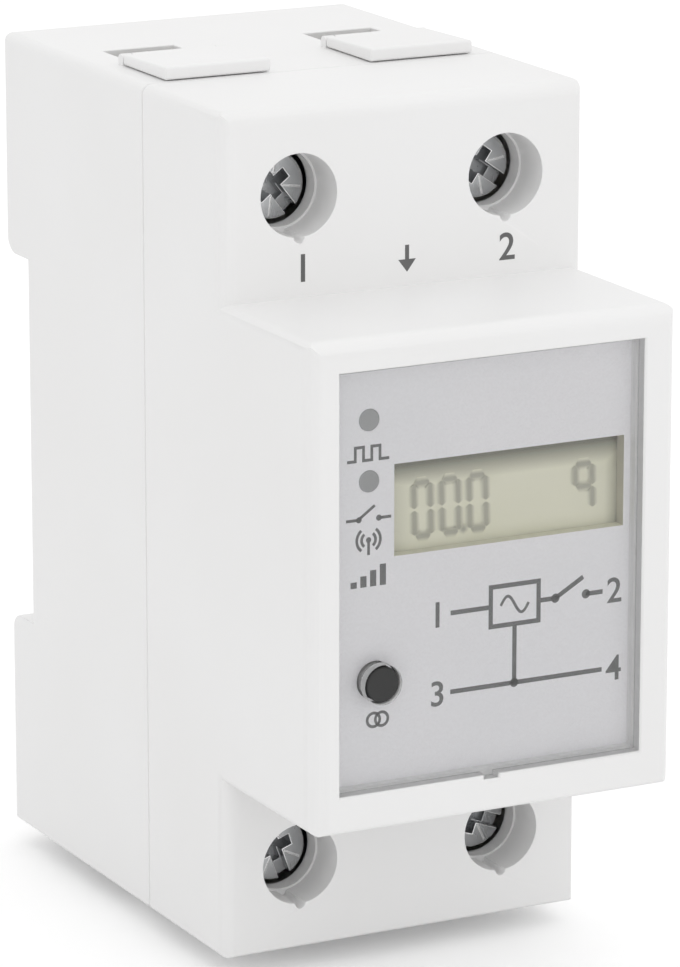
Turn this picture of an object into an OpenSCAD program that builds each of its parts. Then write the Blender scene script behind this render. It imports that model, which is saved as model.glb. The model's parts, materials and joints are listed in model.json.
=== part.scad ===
// Smart energy monitor for a 35 mm rail: single phase, two modules wide.
// The origin is the centre of the rail seat. +X is right, +Y points back to the rail, +Z is up.

/* [Case] */
// Width of the case, two modules of 18 mm
body_w = 36; // [35:0.5:44]
// Height of the case
body_h = 77.6; // [76:0.2:90]
// Depth of the rear housing, from the rail seat to the seam
base_d = 25.7; // [25.4:0.1:32]
// Depth of the front cover, from the seam to the terminal faces
cover_d = 16; // [15:0.5:22]
// How far the nose stands in front of the terminal faces
nose_d = 17.4; // [16:0.2:24]
// Height of the nose
nose_h = 44; // [42.8:0.2:48]
// Height of the nose's middle above the rail's middle
nose_z = -0.3; // [-0.4:0.1:0.2]
// Thickness of the side, nose and terminal walls
wall = 1.8; // [1.4:0.1:2.2]
// Thickness of the roof and the floor, which carry the entry flaps
roof_t = 2.6; // [2.4:0.1:3]
// Thickness of the wall behind the rail seat
back_t = 2; // [1.6:0.1:3]
// Gap at the seam between the two halves
seam_gap = 0.16; // [0.1:0.02:0.3]
// Radius of the nose's left and upper front edges
nose_r = 1.8; // [0.8:0.2:2.4]
// Radius of the nose's right front edge
nose_right_r = 1; // [0.4:0.2:2.4]
// Radius of the nose's lower front edge
nose_bottom_r = 0.5; // [0.2:0.1:2.4]
// Radius of the nose's edges that run front to back
nose_side_r = 1; // [0.4:0.2:1.6]
// Radius of the left and upper front edges of the terminal faces
face_r = 1.4; // [0.6:0.2:2]
// Radius of the right front edges of the terminal faces
face_right_r = 0.3; // [0.2:0.1:2]
// Radius of the top left edge, which runs front to back
top_r = 1; // [0.4:0.2:1.6]
// Radius of the top right edge, which runs front to back
top_right_r = 0.3; // [0.2:0.1:1.6]
// Radius of the bottom edges
bottom_r = 0.4; // [0.2:0.1:0.8]
// Radius of the edges at the back
back_r = 0.3; // [0.2:0.1:1.2]
// Reach of the cover's tongues into the rear housing
tongue_l = 2.2; // [1.8:0.2:3]
// Thickness of the cover's tongues
tongue_t = 0.8; // [0.6:0.1:1]
// Half height of the cover's tongues
tongue_h = 20; // [17:1:24]
// Height of the snap ridges on the tongues
snap_h = 0.3; // [0.2:0.05:0.5]
// Gap round pieces that are seated in the case
seat_gap = 0.15; // [0.1:0.05:0.3]

/* [Rail grip] */
// Opening between the claws, for a 35 mm rail
rail_gap = 35.6; // [35.2:0.1:36.4]
// Depth of the claws behind the rail seat
claw_d = 4.8; // [4.4:0.1:6]
// Round at the rear corner of each claw
claw_r = 1.9; // [0.5:0.1:2.4]
// Slot for the rail's flange, between the seat and the hooks
flange_gap = 1.4; // [1.2:0.1:1.6]
// Reach of the hooks over the rail's flange
hook_reach = 1.2; // [0.8:0.1:1.8]
// Width of the fixed hook
hook_w = 16; // [10:1:22]
// Thickness of the fixed hook
hook_t = 1.9; // [1.4:0.1:2.4]
// Depth of the relief under the hooks
relief_d = 0.4; // [0.2:0.1:0.8]
// Width of the latch
latch_w = 13; // [11:0.5:15]
// Thickness of the latch
latch_t = 2.7; // [2.5:0.1:2.9]
// Width of each guide wing on the latch
wing_w = 1.5; // [1:0.1:2]
// Thickness of the guide wings
wing_t = 1.4; // [1:0.1:1.6]
// Length of the guide wings
wing_l = 12; // [9:0.5:13]
// Travel of the latch when it is pulled down
latch_travel = 4; // [3:0.2:4.4]
// Length of the latch's tail below the case
tail_l = 2; // [1:0.2:4]
// Gap round the latch in its channel
latch_gap = 0.2; // [0.1:0.05:0.3]
// Wire diameter of the latch's spring
spring_wire = 0.4; // [0.3:0.05:0.45]
// Radius of the spring at the middle of its wire
spring_r = 1.05; // [0.9:0.05:1.1]
// Number of turns in the spring
spring_turns = 4; // [3:1:6]
// Length left in the spring when the latch is pulled right down
spring_spare = 0.2; // [0.1:0.05:0.6]
// Thickness of the ledge that the spring stands on
spring_ledge = 1.5; // [1.2:0.1:2]
// Width of the slot in the latch's tail, for a screwdriver
pull_w = 6.5; // [5:0.5:8]
// Height of the tail below that slot
pull_edge = 0.5; // [0.4:0.1:0.8]

/* [Terminals] */
// Width of a lift cage
cage_w = 10; // [9:0.2:10.6]
// Height of a lift cage
cage_h = 8; // [7:0.2:8.4]
// Thickness of the cage's side walls
cage_side_t = 1.4; // [1.1:0.1:1.5]
// Thickness of the cage's threaded wall
cage_front_t = 2.6; // [2:0.1:2.8]
// Thickness of the cage's clamping wall
cage_floor_t = 2; // [1.6:0.1:2.4]
// Room for the wire between the busbar and the clamping wall
wire_space = 7.5; // [6:0.1:8]
// Gap round a cage in its chamber
cage_gap = 0.3; // [0.2:0.05:0.4]
// Thickness of the guide between a cage and the side wall
guide_t = 0.55; // [0.4:0.05:1]
// Gap between a cage and the roof
cage_roof_gap = 1.35; // [0.6:0.05:2]
// Thickness of the chamber walls
rib_t = 1.5; // [1.2:0.1:2]
// Gap between a busbar and the cage's side walls
bar_side_gap = 0.3; // [0.2:0.05:1]
// Thickness of a busbar
bar_t = 1.5; // [1:0.1:1.6]
// Distance of the busbars behind the seam
bar_setback = 0.36; // [0.3:0.02:0.6]
// Gap at the screw's tip and in front of the busbar
bar_gap = 0.1; // [0.05:0.05:0.2]
// Radius of a terminal screw's shank
screw_r = 2.45; // [2:0.05:2.8]
// Clearance of the shank in the cage's thread
thread_gap = 0.05; // [0.02:0.01:0.1]
// Radius of a terminal screw's head
head_r = 3.1; // [2.9:0.05:3.3]
// Thickness of a terminal screw's head
head_t = 3; // [2.4:0.1:3.2]
// Depth of the screw heads below the terminal faces
head_sink = 5.3; // [4.6:0.1:6]
// Width of the screwdriver slot
slot_w = 1.2; // [0.8:0.1:1.4]
// Depth of the screwdriver slot
slot_d = 1; // [0.8:0.1:1.6]
// Reach of the cross recess from the screw's axis
cross_r = 1.7; // [1.6:0.1:2.4]
// Width of the cross recess's arms
cross_w = 1; // [0.9:0.1:1.5]
// Depth of the cross recess
cross_d = 2; // [1.5:0.1:2.2]
// Chamfer at the rim of a terminal screw's head
head_chamfer = 0.15; // [0.1:0.05:0.5]
// Angle of the neutral inlet screw's slot
neutral_in_angle = 52; // [0:1:90]
// Angle of the line inlet screw's slot
line_in_angle = 35; // [0:1:90]
// Angle of the neutral outlet screw's slot
neutral_out_angle = 70; // [0:1:90]
// Angle of the line outlet screw's slot
line_out_angle = 20; // [0:1:90]
// Radius of a screw-access hole at the face
hole_r = 3.75; // [3.6:0.05:4.2]
// Radius of a screw-access hole past its step
hole_inner_r = 3.55; // [3.4:0.05:3.6]
// Depth of the step in a screw-access hole
hole_step = 4; // [3:0.1:4.5]
// Wall of the tube round a screw-access hole
tube_t = 1.2; // [0.8:0.1:1.4]
// Reach of that tube past the face of the screw's head
tube_lap = 0.3; // [0:0.1:2.4]
// Radius of the notch at the bottom of a screw-access hole
notch_r = 0.5; // [0.3:0.05:0.7]

/* [Entry flaps] */
// Width of a wire entry
entry_w = 7.2; // [6:0.2:8]
// Distance of a wire entry's rear edge behind the seam
entry_reach = 17.1; // [15:0.1:19]
// Width of a flap
flap_w = 10.6; // [9:0.05:10.8]
// Length of a flap
flap_l = 9.9; // [8:0.1:12]
// Thickness of a flap at its hinge
flap_t = 0.95; // [0.8:0.05:1.2]
// Thickness of a flap at its front edge
flap_front_t = 1.2; // [0.8:0.05:1.6]
// Gap under a flap and round its hinge
flap_gap = 0.1; // [0.05:0.05:0.2]
// Width of the cheeks that carry a flap's hinge pins
cheek_w = 1; // [0.8:0.1:1.4]
// Radius of a flap's hinge pins
pin_r = 0.2; // [0.15:0.05:0.3]
// Length of a flap's hinge pins
pin_l = 0.6; // [0.4:0.1:0.7]
// Running clearance of the hinge pins
pin_gap = 0.05; // [0.02:0.01:0.08]

/* [Window and label] */
// Width of the nose's rim left of the window opening
rim_left = 2.75; // [2.6:0.05:4]
// Width of the nose's rim right of the window opening
rim_right = 3.15; // [2.6:0.05:4]
// Height of the nose's rim above the window opening
rim_top = 2.8; // [2.6:0.1:4]
// Height of the nose's rim below the window opening
rim_bottom = 3.4; // [2.8:0.1:4]
// Depth of the window below the front of the nose
window_sink = 0.2; // [0.1:0.05:0.5]
// Thickness of the window
window_t = 1.5; // [1.2:0.1:2]
// Gap round the window in its opening
window_gap = 0.1; // [0.05:0.05:0.15]
// Width of the ledge that carries the window
ledge_w = 0.3; // [0.3:0.05:0.6]
// Depth from the window to the label
label_gap = 0.8; // [0.8:0.1:1.6]
// Thickness of the label plate
label_t = 1.2; // [0.8:0.1:1.6]
// Overlap of the label plate behind the ledge
label_lap = 0.7; // [0.4:0.05:0.8]
// Width of the snap tab under the window
tab_w = 1.3; // [1:0.1:4]
// Reach of the snap tab below the window
tab_h = 0.4; // [0.3:0.05:1]
// Room in the window opening left of the display aperture
display_left = 6.25; // [5.8:0.05:8]
// Room in the window opening right of the display aperture
display_right = 0.95; // [0.6:0.05:2]
// Room in the window opening above the display aperture
display_top = 9; // [8:0.1:12]
// Height of the display aperture in the label
aperture_h = 8.25; // [7:0.05:10]
// Radius of an indicator window
dot_r = 1; // [0.8:0.05:1.1]
// Depth of the upper indicator window below the top of the window opening
dot_top = 4.8; // [4.6:0.1:6]
// Distance between the indicator windows
dot_pitch = 5.45; // [4:0.05:6]
// Clearance of the indicator windows in the label
dot_gap = 0.03; // [0.02:0.01:0.06]
// Distance of the push button from the left of the window opening
button_side = 4.35; // [3.6:0.05:5]
// Height of the push button above the bottom of the window opening
button_rise = 9.6; // [8:0.1:10.6]
// Radius of the push button
button_r = 1.6; // [1.2:0.05:1.7]
// Radius of the button's hole in the window
button_hole_r = 1.8; // [1.8:0.05:2.2]
// Radius of the button's hole in the label
button_label_r = 1.75; // [1.75:0.05:2.6]
// Depth of the button below the window's face
button_sink = 0.1; // [0:0.1:1]
// Running clearance of the button in its switch
button_gap = 0.05; // [0.03:0.01:0.08]
// Length of the button inside its switch
button_grip = 1.5; // [1:0.1:1.5]

/* [Display] */
// Margin of the display glass round the aperture
glass_margin = 0.5; // [0.3:0.05:0.6]
// Thickness of the display glass
glass_t = 2.2; // [1.6:0.1:2.6]
// Gap between the display glass and what holds it
glass_gap = 0.1; // [0.05:0.05:0.15]
// Wall of the holder round the display glass
holder_t = 0.7; // [0.5:0.05:0.8]
// Depth of the holder under the display glass
holder_d = 1.6; // [1.2:0.1:2]
// How far the holder stands back from the glass's face
holder_back = 0.9; // [0.6:0.1:1.2]
// Width of a contact strip
strip_w = 1.2; // [0.8:0.1:1.6]
// Gap round a contact strip
strip_gap = 0.05; // [0.02:0.01:0.1]
// Distance of a contact strip from the edge of the glass
strip_edge = 0.9; // [0.7:0.1:1.2]
// Distance of a contact strip's ends from the sides of the aperture
strip_inset = 1.45; // [0.5:0.05:3]
// Thickness of both circuit boards
board_t = 1.6; // [1:0.1:1.8]
// Gap round the display board in the nose
board_gap = 0.4; // [0.3:0.05:0.6]
// Distance of the display board's screws from the side walls
boss_side = 3.4; // [3:0.1:3.6]
// Distance of the display board's screws from the nose's upper and lower walls
boss_end = 2.6; // [2.3:0.1:2.8]
// Radius of the bosses for the display board's screws
boss_r = 2; // [1.7:0.1:2]
// Radius of a board screw's shank
board_screw_r = 0.95; // [0.8:0.05:1.1]
// Radius of a board screw's head
board_head_r = 1.8; // [1.5:0.1:2]
// Thickness of a board screw's head
board_head_t = 1.3; // [1:0.1:1.6]
// Length of a board screw in its boss
board_screw_l = 2.8; // [2:0.1:3]
// Clearance of the board screws in the display board
board_hole_gap = 0.15; // [0.1:0.05:0.3]
// Radius of an indicator lamp
led_r = 1; // [0.8:0.05:1.05]
// Gap between the indicator lamps and the display's holder
led_gap = 0.15; // [0.1:0.05:0.3]
// Width of the switch under the button
switch_w = 6; // [5:0.1:6.4]
// Height of the switch under the button
switch_h = 3.4; // [3:0.1:3.6]
// Depth of the switch's bore
switch_bore = 2; // [2:0.1:2.4]

/* [Metering board and switching] */
// Sideways place of the metering board's left face
meter_x = -2.4; // [-3:0.1:-2.2]
// Half height of the metering board
meter_h = 18.5; // [17.8:0.1:19]
// Room between the metering board and the display board
meter_gap = 4.5; // [4:0.1:6]
// Depth of the slot that holds the metering board
slot_rib_d = 4; // [3:0.5:5]
// Thickness of the ribs beside the metering board
slot_rib_t = 1.2; // [0.8:0.1:1.3]
// Half height of the ribs beside the metering board
slot_rib_h = 13; // [8:1:16]
// Clearance of the metering board in its slot
slot_gap = 0.15; // [0.1:0.05:0.2]
// Room between the parts on the metering board
part_gap = 1.8; // [1.4:0.1:2.2]
// Thickness of the wireless module's board
wireless_t = 0.8; // [0.6:0.1:1.6]
// Depth of the wireless module
wireless_d = 15.5; // [12:0.5:16]
// Height of the wireless module
wireless_h = 23.5; // [18:0.5:24]
// Height of the aerial at the top of the wireless module
aerial_h = 4.2; // [3:0.1:6]
// Thickness of the wireless module's shield
shield_t = 2.4; // [1.6:0.1:3]
// Margin of the shield inside the wireless module
shield_margin = 1.4; // [1:0.1:2]
// Radius of the supply capacitor
supply_r = 4; // [3:0.1:4.2]
// Length of the supply capacitor
supply_l = 12; // [8:0.5:13]
// Width of the filter capacitor
filter_w = 11; // [8:0.5:12.5]
// Depth of the filter capacitor
filter_d = 12.5; // [9:0.5:16]
// Height of the filter capacitor
filter_h = 6; // [4:0.5:8]
// Width of the supply transformer
transformer_w = 10; // [8:0.5:12]
// Depth of the supply transformer
transformer_d = 11; // [8:0.5:16]
// Height of the supply transformer
transformer_h = 10; // [7:0.5:12]
// Radius of the varistor's disc
varistor_r = 4.6; // [3.5:0.1:4.8]
// Thickness of the varistor's disc
varistor_t = 4; // [3:0.1:5]
// Radius of the varistor's leads
lead_r = 0.4; // [0.3:0.05:0.5]
// Thickness of the metering chip
chip_t = 1.6; // [1:0.1:2]
// Depth of the metering chip
chip_d = 9; // [6:0.5:10]
// Height of the metering chip
chip_h = 10; // [7:0.5:12]
// Thickness of the board header
header_t = 2.6; // [2:0.1:3]
// Height of the board header
header_h = 12; // [8:0.5:16]
// Length of the board header on the metering board
header_grip = 1; // [0.6:0.1:1.4]
// Gap between the relay and the rib beside the metering board
relay_gap = 0.75; // [0.5:0.05:3]
// Height of the relay
relay_h = 28; // [20:1:32]
// Width of the current shunt
shunt_w = 4; // [3:0.1:6]
// Length of the current shunt
shunt_l = 7; // [5:0.5:9]
// Height of the upper foot of the line path above the middle
foot_z = 1.5; // [1:0.1:3]
// Height of the bridge between the relay and the shunt
bridge_h = 3.5; // [2.5:0.1:5]

/* [Hidden] */
$fn = 48;
// Overlap of joined pieces, reach of cutting shapes past a face, and a length past everything
eps = 0.01;
cut = 1;
far = 200;
// Steps of a rounded corner, and the sides of the spring's wire and its rings in a turn
arc_steps = 8;
spring_sides = 6;
spring_steps = 8;

case_white = [0.89, 0.885, 0.88];
clear_tint = [0.85, 0.88, 0.9, 0.35];
label_grey = [0.8, 0.795, 0.81];
lcd_green = [0.74, 0.74, 0.66];
dot_grey = [0.57, 0.565, 0.58];
button_black = [0.05, 0.05, 0.05];
zinc = [0.75, 0.75, 0.73];
cage_steel = [0.72, 0.68, 0.58];
copper = [0.78, 0.48, 0.32];
manganin = [0.62, 0.5, 0.4];
board_green = [0.12, 0.4, 0.22];
spring_steel = [0.6, 0.62, 0.64];
component_black = [0.12, 0.12, 0.13];
film_yellow = [0.85, 0.7, 0.2];
disc_blue = [0.15, 0.3, 0.6];
lamp_clear = [0.9, 0.92, 0.88];
strip_rubber = [0.5, 0.45, 0.55];

// Planes from back to front
y_seam = -base_d;
y_base = y_seam + seam_gap / 2;
y_cover = y_seam - seam_gap / 2;
tongue_y0 = y_cover - wall;
y_term = y_seam - cover_d;
y_front = y_term - nose_d;
y_floor = -back_t;
inner_x = body_w / 2 - wall;
roof_z = body_h / 2;
ceiling_z = roof_z - roof_t;
nose_top = nose_z + nose_h / 2;
nose_bottom = nose_z - nose_h / 2;

// Terminals
terminal_x = inner_x - guide_t - cage_gap - cage_w / 2;
terminal_z = ceiling_z - cage_roof_gap - cage_h / 2;
bar_y0 = y_seam + bar_setback;
bar_y1 = bar_y0 + bar_t;
bar_end = terminal_z + cage_h / 2 - 2 * cage_gap;
bar_w = cage_w - 2 * cage_side_t - 2 * bar_side_gap;
cage_y0 = bar_y0 - bar_gap - cage_front_t;
cage_y1 = bar_y1 + wire_space + cage_floor_t;
head_y0 = y_term + head_sink;
head_y1 = head_y0 + head_t;
chamber_x0 = terminal_x - cage_w / 2 - cage_gap;
chamber_x1 = terminal_x + cage_w / 2 + cage_gap;
chamber_z = terminal_z - cage_h / 2 - cage_gap;
corners = [[-1, 1], [1, 1], [-1, -1], [1, -1]];

// Entry flaps, on the roof; the lower pair mirrors the upper
entry_y0 = bar_y1 + cage_gap;
entry_y1 = y_seam + entry_reach;
hinge_y = y_base + flap_l - flap_t / 2;
hinge_z = roof_z + flap_gap + flap_t / 2;
flap_neck = flap_w / 2 - cheek_w - flap_gap;

// Latch and its channel in the lower claw
latch_y0 = flange_gap;
latch_y1 = flange_gap + latch_t;
claw_z = -rail_gap / 2;
latch_top = claw_z + hook_reach;
latch_bottom = -roof_z - tail_l;
wing_top = claw_z - hook_reach - 2 * latch_gap;
wing_bottom = wing_top - wing_l;
spring_top = wing_top - spring_ledge;
spring_l = latch_travel + (spring_turns + 1) * spring_wire + spring_spare;
spring_bottom = spring_top - spring_l;
spring_y = (latch_y0 + latch_y1) / 2;
spring_room = spring_r + spring_wire / 2 + latch_gap;
spring_rings = spring_steps * spring_turns;
spring_rise = spring_l - spring_wire - 2 * eps;

// Window, label and display, from the front backwards
window_y0 = y_front + window_sink;
window_y1 = window_y0 + window_t;
label_y0 = window_y1 + label_gap;
label_y1 = label_y0 + label_t;
glass_y0 = label_y1 + glass_gap;
glass_y1 = glass_y0 + glass_t;
board_y0 = glass_y1 + holder_d;
board_y1 = board_y0 + board_t;
opening_w = body_w - rim_left - rim_right;
opening_h = nose_h - rim_top - rim_bottom;
opening_x = (rim_left - rim_right) / 2;
opening_z = nose_z + (rim_bottom - rim_top) / 2;
opening_left = opening_x - opening_w / 2;
opening_top = opening_z + opening_h / 2;
ledge_hw = opening_w / 2 - ledge_w;
ledge_hh = opening_h / 2 - ledge_w;
aperture_w = opening_w - display_left - display_right;
aperture_x = opening_left + display_left + aperture_w / 2;
aperture_z = opening_top - display_top - aperture_h / 2;
glass_hw = aperture_w / 2 + glass_margin;
glass_hh = aperture_h / 2 + glass_margin;
holder_hw = glass_hw + glass_gap + holder_t;
holder_hh = glass_hh + glass_gap + holder_t;
strip_l = aperture_w - 2 * strip_inset;
strip_z = glass_hh - strip_edge - strip_w / 2;
dot_x = aperture_x - holder_hw - led_gap - led_r;
dot_z = opening_top - dot_top;
button_x = opening_left + button_side;
button_z = opening_top - opening_h + button_rise;
switch_y0 = board_y0 - switch_h;
boss_x = inner_x - boss_side;
boss_z = nose_h / 2 - wall - boss_end;

// Metering board and the line path
meter_x1 = meter_x + board_t;
meter_y0 = board_y1 + meter_gap;
meter_y1 = y_floor - slot_gap;
behind_bar = bar_y1 + part_gap;
before_tongue = tongue_y0 - seat_gap;
relay_x1 = inner_x - seat_gap - tongue_t - seat_gap;
relay_x0 = meter_x1 + slot_gap + slot_rib_t + relay_gap;
relay_y0 = behind_bar;
bridge_top = foot_z + bridge_h;
shunt_top = bridge_top + shunt_l;

// Points of a rounded corner at b, between a and c
function unit(v) = v / norm(v);
function turn(d) = d > 180 ? d - 360 : d < -180 ? d + 360 : d;
function corner_arc(a, b, c, r) =
  let (
    u = unit(a - b),
    v = unit(c - b),
    half = acos(u * v) / 2,
    mid = b + unit(u + v) * r / sin(half),
    p = b + u * r / tan(half) - mid,
    q = b + v * r / tan(half) - mid,
    start = atan2(p.y, p.x),
    sweep = turn(atan2(q.y, q.x) - start)
  )
  [
    for (i = [0:arc_steps])
      let (angle = start + sweep * i / arc_steps)
      mid + r * [cos(angle), sin(angle)]
  ];

// A polygon whose corners are rounded by the radii given
module rounded(points, radii) {
  n = len(points);
  polygon([
    for (i = [0:n - 1])
      each radii[i] > 0
        ? corner_arc(points[(i + n - 1) % n], points[i], points[(i + 1) % n], radii[i])
        : [points[i]]
  ]);
}

// A rectangle from its ranges, with radii from the low corner round
module rounded_rect(x, y, radii) {
  rounded([[x[0], y[0]], [x[1], y[0]], [x[1], y[1]], [x[0], y[1]]], radii);
}

// Extrusions along the three axes: outlines in YZ, XZ and XY
module along_x(length) {
  rotate([90, 0, 90])
    linear_extrude(length, center = true) children();
}
module along_y(y) {
  translate([0, y[1], 0])
    rotate([90, 0, 0])
      linear_extrude(y[1] - y[0]) children();
}
module along_z(length) {
  linear_extrude(length, center = true) children();
}

// A box and a rod from their ranges
module block(x, y, z) {
  translate([x[0], y[0], z[0]])
    cube([x[1] - x[0], y[1] - y[0], z[1] - z[0]]);
}
module rod_y(r, y) {
  translate([0, y[0], 0])
    rotate([-90, 0, 0])
      cylinder(r = r, h = y[1] - y[0]);
}
module rod_x(r, x) {
  translate([x[0], 0, 0])
    rotate([0, 90, 0])
      cylinder(r = r, h = x[1] - x[0]);
}

// Children in one of the four terminal corners
module at_corner(c) {
  mirror([c.x > 0 ? 0 : 1, 0, 0])
    mirror([0, 0, c.y > 0 ? 0 : 1])
      children();
}
module at_corners() {
  for (c = corners)
    at_corner(c) children();
}

// Outline of the case from the front, shared by both halves
module case_front() {
  rounded_rect([-body_w / 2, body_w / 2], [-roof_z, roof_z], [bottom_r, bottom_r, top_right_r, top_r]);
}

module base_solid() {
  intersection() {
    along_x(body_w + 2 * cut)
      rounded(
        [
          [y_base, -roof_z], [claw_d, -roof_z], [claw_d, claw_z], [0, claw_z],
          [0, -claw_z], [claw_d, -claw_z], [claw_d, roof_z], [y_base, roof_z]
        ],
        [0, bottom_r, claw_r, 0, 0, claw_r, back_r, 0]
      );
    along_y([y_base - cut, claw_d + cut])
      case_front();
    along_z(2 * body_h)
      rounded_rect([-body_w / 2, body_w / 2], [y_base - cut, claw_d], [0, 0, back_r, back_r]);
  }
}

// One terminal chamber's walls in the rear housing
module base_chamber() {
  rib_y = max(entry_y1, cage_y1 + cage_gap);
  block([0, inner_x + eps], [y_base, y_floor + eps], [chamber_z - rib_t, chamber_z]);
  block([chamber_x0 - rib_t, inner_x + eps], [rib_y, rib_y + rib_t], [chamber_z - eps, ceiling_z + eps]);
  block([chamber_x0 - rib_t, chamber_x0], [y_base, rib_y + eps], [chamber_z - eps, ceiling_z + eps]);
  block([chamber_x1, inner_x + eps], [y_base, rib_y + eps], [chamber_z - eps, ceiling_z + eps]);
}

// Cheeks on the roof at both ends of a flap's hinge
module base_cheeks() {
  translate([terminal_x, hinge_y, 0])
    for (x = [-flap_w / 2, flap_w / 2 - cheek_w]) {
      block([x, x + cheek_w], [-flap_t / 2, flap_t / 2], [roof_z - eps, hinge_z]);
      translate([0, 0, hinge_z])
        rod_x(flap_t / 2, [x, x + cheek_w]);
    }
}

// Wire entry, hinge holes and busbar notch of one terminal
module base_entry() {
  pin_end = flap_neck + pin_l + pin_gap;
  translate([terminal_x, 0, 0]) {
    block([-entry_w / 2, entry_w / 2], [entry_y0, entry_y1], [chamber_z, far]);
    block(
      [-bar_w / 2 - seat_gap, bar_w / 2 + seat_gap],
      [y_seam - cut, bar_y1 + seat_gap],
      [chamber_z - rib_t - cut, chamber_z + cut]
    );
    translate([0, hinge_y, hinge_z])
      rod_x(pin_r + pin_gap, [-pin_end, pin_end]);
  }
}

// Channel of the rail latch in the lower claw
module latch_channel() {
  mouth = latch_w / 2 + latch_gap;
  groove = mouth + wing_w;
  block([-mouth, mouth], [latch_y0 - latch_gap, far], [-far, claw_z + eps]);
  block(
    [-groove, groove],
    [latch_y0 - latch_gap, latch_y0 + wing_t + latch_gap],
    [wing_bottom - latch_travel - latch_gap, wing_top + latch_gap]
  );
}

// Reach of a snap ridge, and of its groove when grown by a gap
module snap_ridge(gap) {
  block(
    [inner_x - seat_gap - eps, inner_x - seat_gap + snap_h + gap],
    [y_seam + tongue_l / 2 - gap, y_seam + tongue_l - snap_h + gap],
    [tongue_h / 2 - gap, tongue_h - tongue_t + gap]
  );
}

module rear_housing() {
  hook_z = -claw_z - hook_reach;
  color(case_white) {
    difference() {
      union() {
        difference() {
          base_solid();
          block([-inner_x, inner_x], [y_seam - cut, y_floor], [-ceiling_z, ceiling_z]);
        }
        at_corners() {
          base_chamber();
          base_cheeks();
        }
        for (x = [meter_x - slot_gap - slot_rib_t, meter_x1 + slot_gap])
          block([x, x + slot_rib_t], [y_floor - slot_rib_d, y_floor + eps], [-slot_rib_h, slot_rib_h]);
      }
      at_corners() base_entry();
      latch_channel();
      block(
        [-hook_w / 2 - latch_gap, hook_w / 2 + latch_gap],
        [-relief_d, eps],
        [hook_z - latch_gap, -claw_z]
      );
      block(
        [-latch_w / 2 - latch_gap, latch_w / 2 + latch_gap],
        [-relief_d, latch_y0],
        [claw_z, latch_top + latch_gap]
      );
      at_corners() snap_ridge(seat_gap);
    }
    block([-hook_w / 2, hook_w / 2], [flange_gap, flange_gap + hook_t], [hook_z, -claw_z + eps]);
    block(
      [-spring_room + latch_gap, spring_room - latch_gap],
      [latch_y0 - latch_gap - eps, latch_y1],
      [spring_bottom - spring_ledge, spring_bottom]
    );
  }
}

module cover_solid() {
  half = [-body_w / 2, body_w / 2];
  intersection() {
    along_x(body_w + 2 * cut)
      rounded_rect([y_term, y_cover], [-roof_z, roof_z], [bottom_r, 0, 0, face_r]);
    along_y([y_term - cut, y_cover + cut])
      case_front();
    along_z(2 * body_h)
      rounded_rect(half, [y_term, y_cover + cut], [face_r, face_right_r, 0, 0]);
  }
  intersection() {
    along_x(body_w + 2 * cut)
      rounded_rect([y_front, y_cover], [nose_bottom, nose_top], [nose_bottom_r, 0, 0, nose_r]);
    along_y([y_front - cut, y_cover + cut])
      rounded_rect(half, [nose_bottom, nose_top], [nose_side_r, nose_side_r, nose_side_r, nose_side_r]);
    along_z(2 * body_h)
      rounded_rect(half, [y_front, y_cover + cut], [nose_r, nose_right_r, 0, 0]);
  }
}

// Screw tube and chamber walls of one terminal in the front cover
module cover_chamber() {
  y_wall = y_term + wall;
  translate([terminal_x, 0, terminal_z])
    rod_y(hole_r + tube_t, [y_wall - eps, head_y0 + tube_lap]);
  block([0, inner_x + eps], [y_wall - eps, y_cover], [chamber_z - rib_t, chamber_z]);
  block([0, rib_t / 2], [y_wall - eps, y_cover], [chamber_z - eps, ceiling_z + eps]);
}

// Stepped screw-access hole
module cover_hole() {
  translate([terminal_x, 0, terminal_z]) {
    rod_y(hole_r, [y_term - cut, y_term + hole_step]);
    rod_y(hole_inner_r, [y_term + hole_step - eps, y_seam]);
  }
}

// Half-round notch at the lower rim of a screw-access hole
module cover_notch(c) {
  translate([c.x * terminal_x, 0, c.y * terminal_z - hole_r])
    rod_y(notch_r, [y_term - cut, y_term + hole_step]);
}

// Tongue that centres the cover in the rear housing, with its snap ridge
module cover_tongue() {
  x = inner_x - seat_gap;
  block([x - tongue_t, x], [tongue_y0, y_seam + tongue_l], [0, tongue_h]);
  block([x - tongue_t, inner_x + eps], [tongue_y0, y_cover], [0, tongue_h]);
  snap_ridge(0);
}

// Screw boss for the display board, joined to the nose's upper or lower wall
module cover_boss(side) {
  z = nose_z + side * boss_z;
  z_wall = nose_z + side * (nose_h / 2 - wall / 2);
  y = [label_y1 + glass_gap, board_y0];
  translate([boss_x, 0, z])
    rod_y(boss_r, y);
  block([boss_x - boss_r / 2, boss_x + boss_r / 2], y, [min(z, z_wall), max(z, z_wall)]);
}

// Places of the four screws of the display board
module at_bosses() {
  for (x = [-boss_x, boss_x])
    for (side = [-1, 1])
      translate([x, 0, nose_z + side * boss_z]) children();
}

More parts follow.
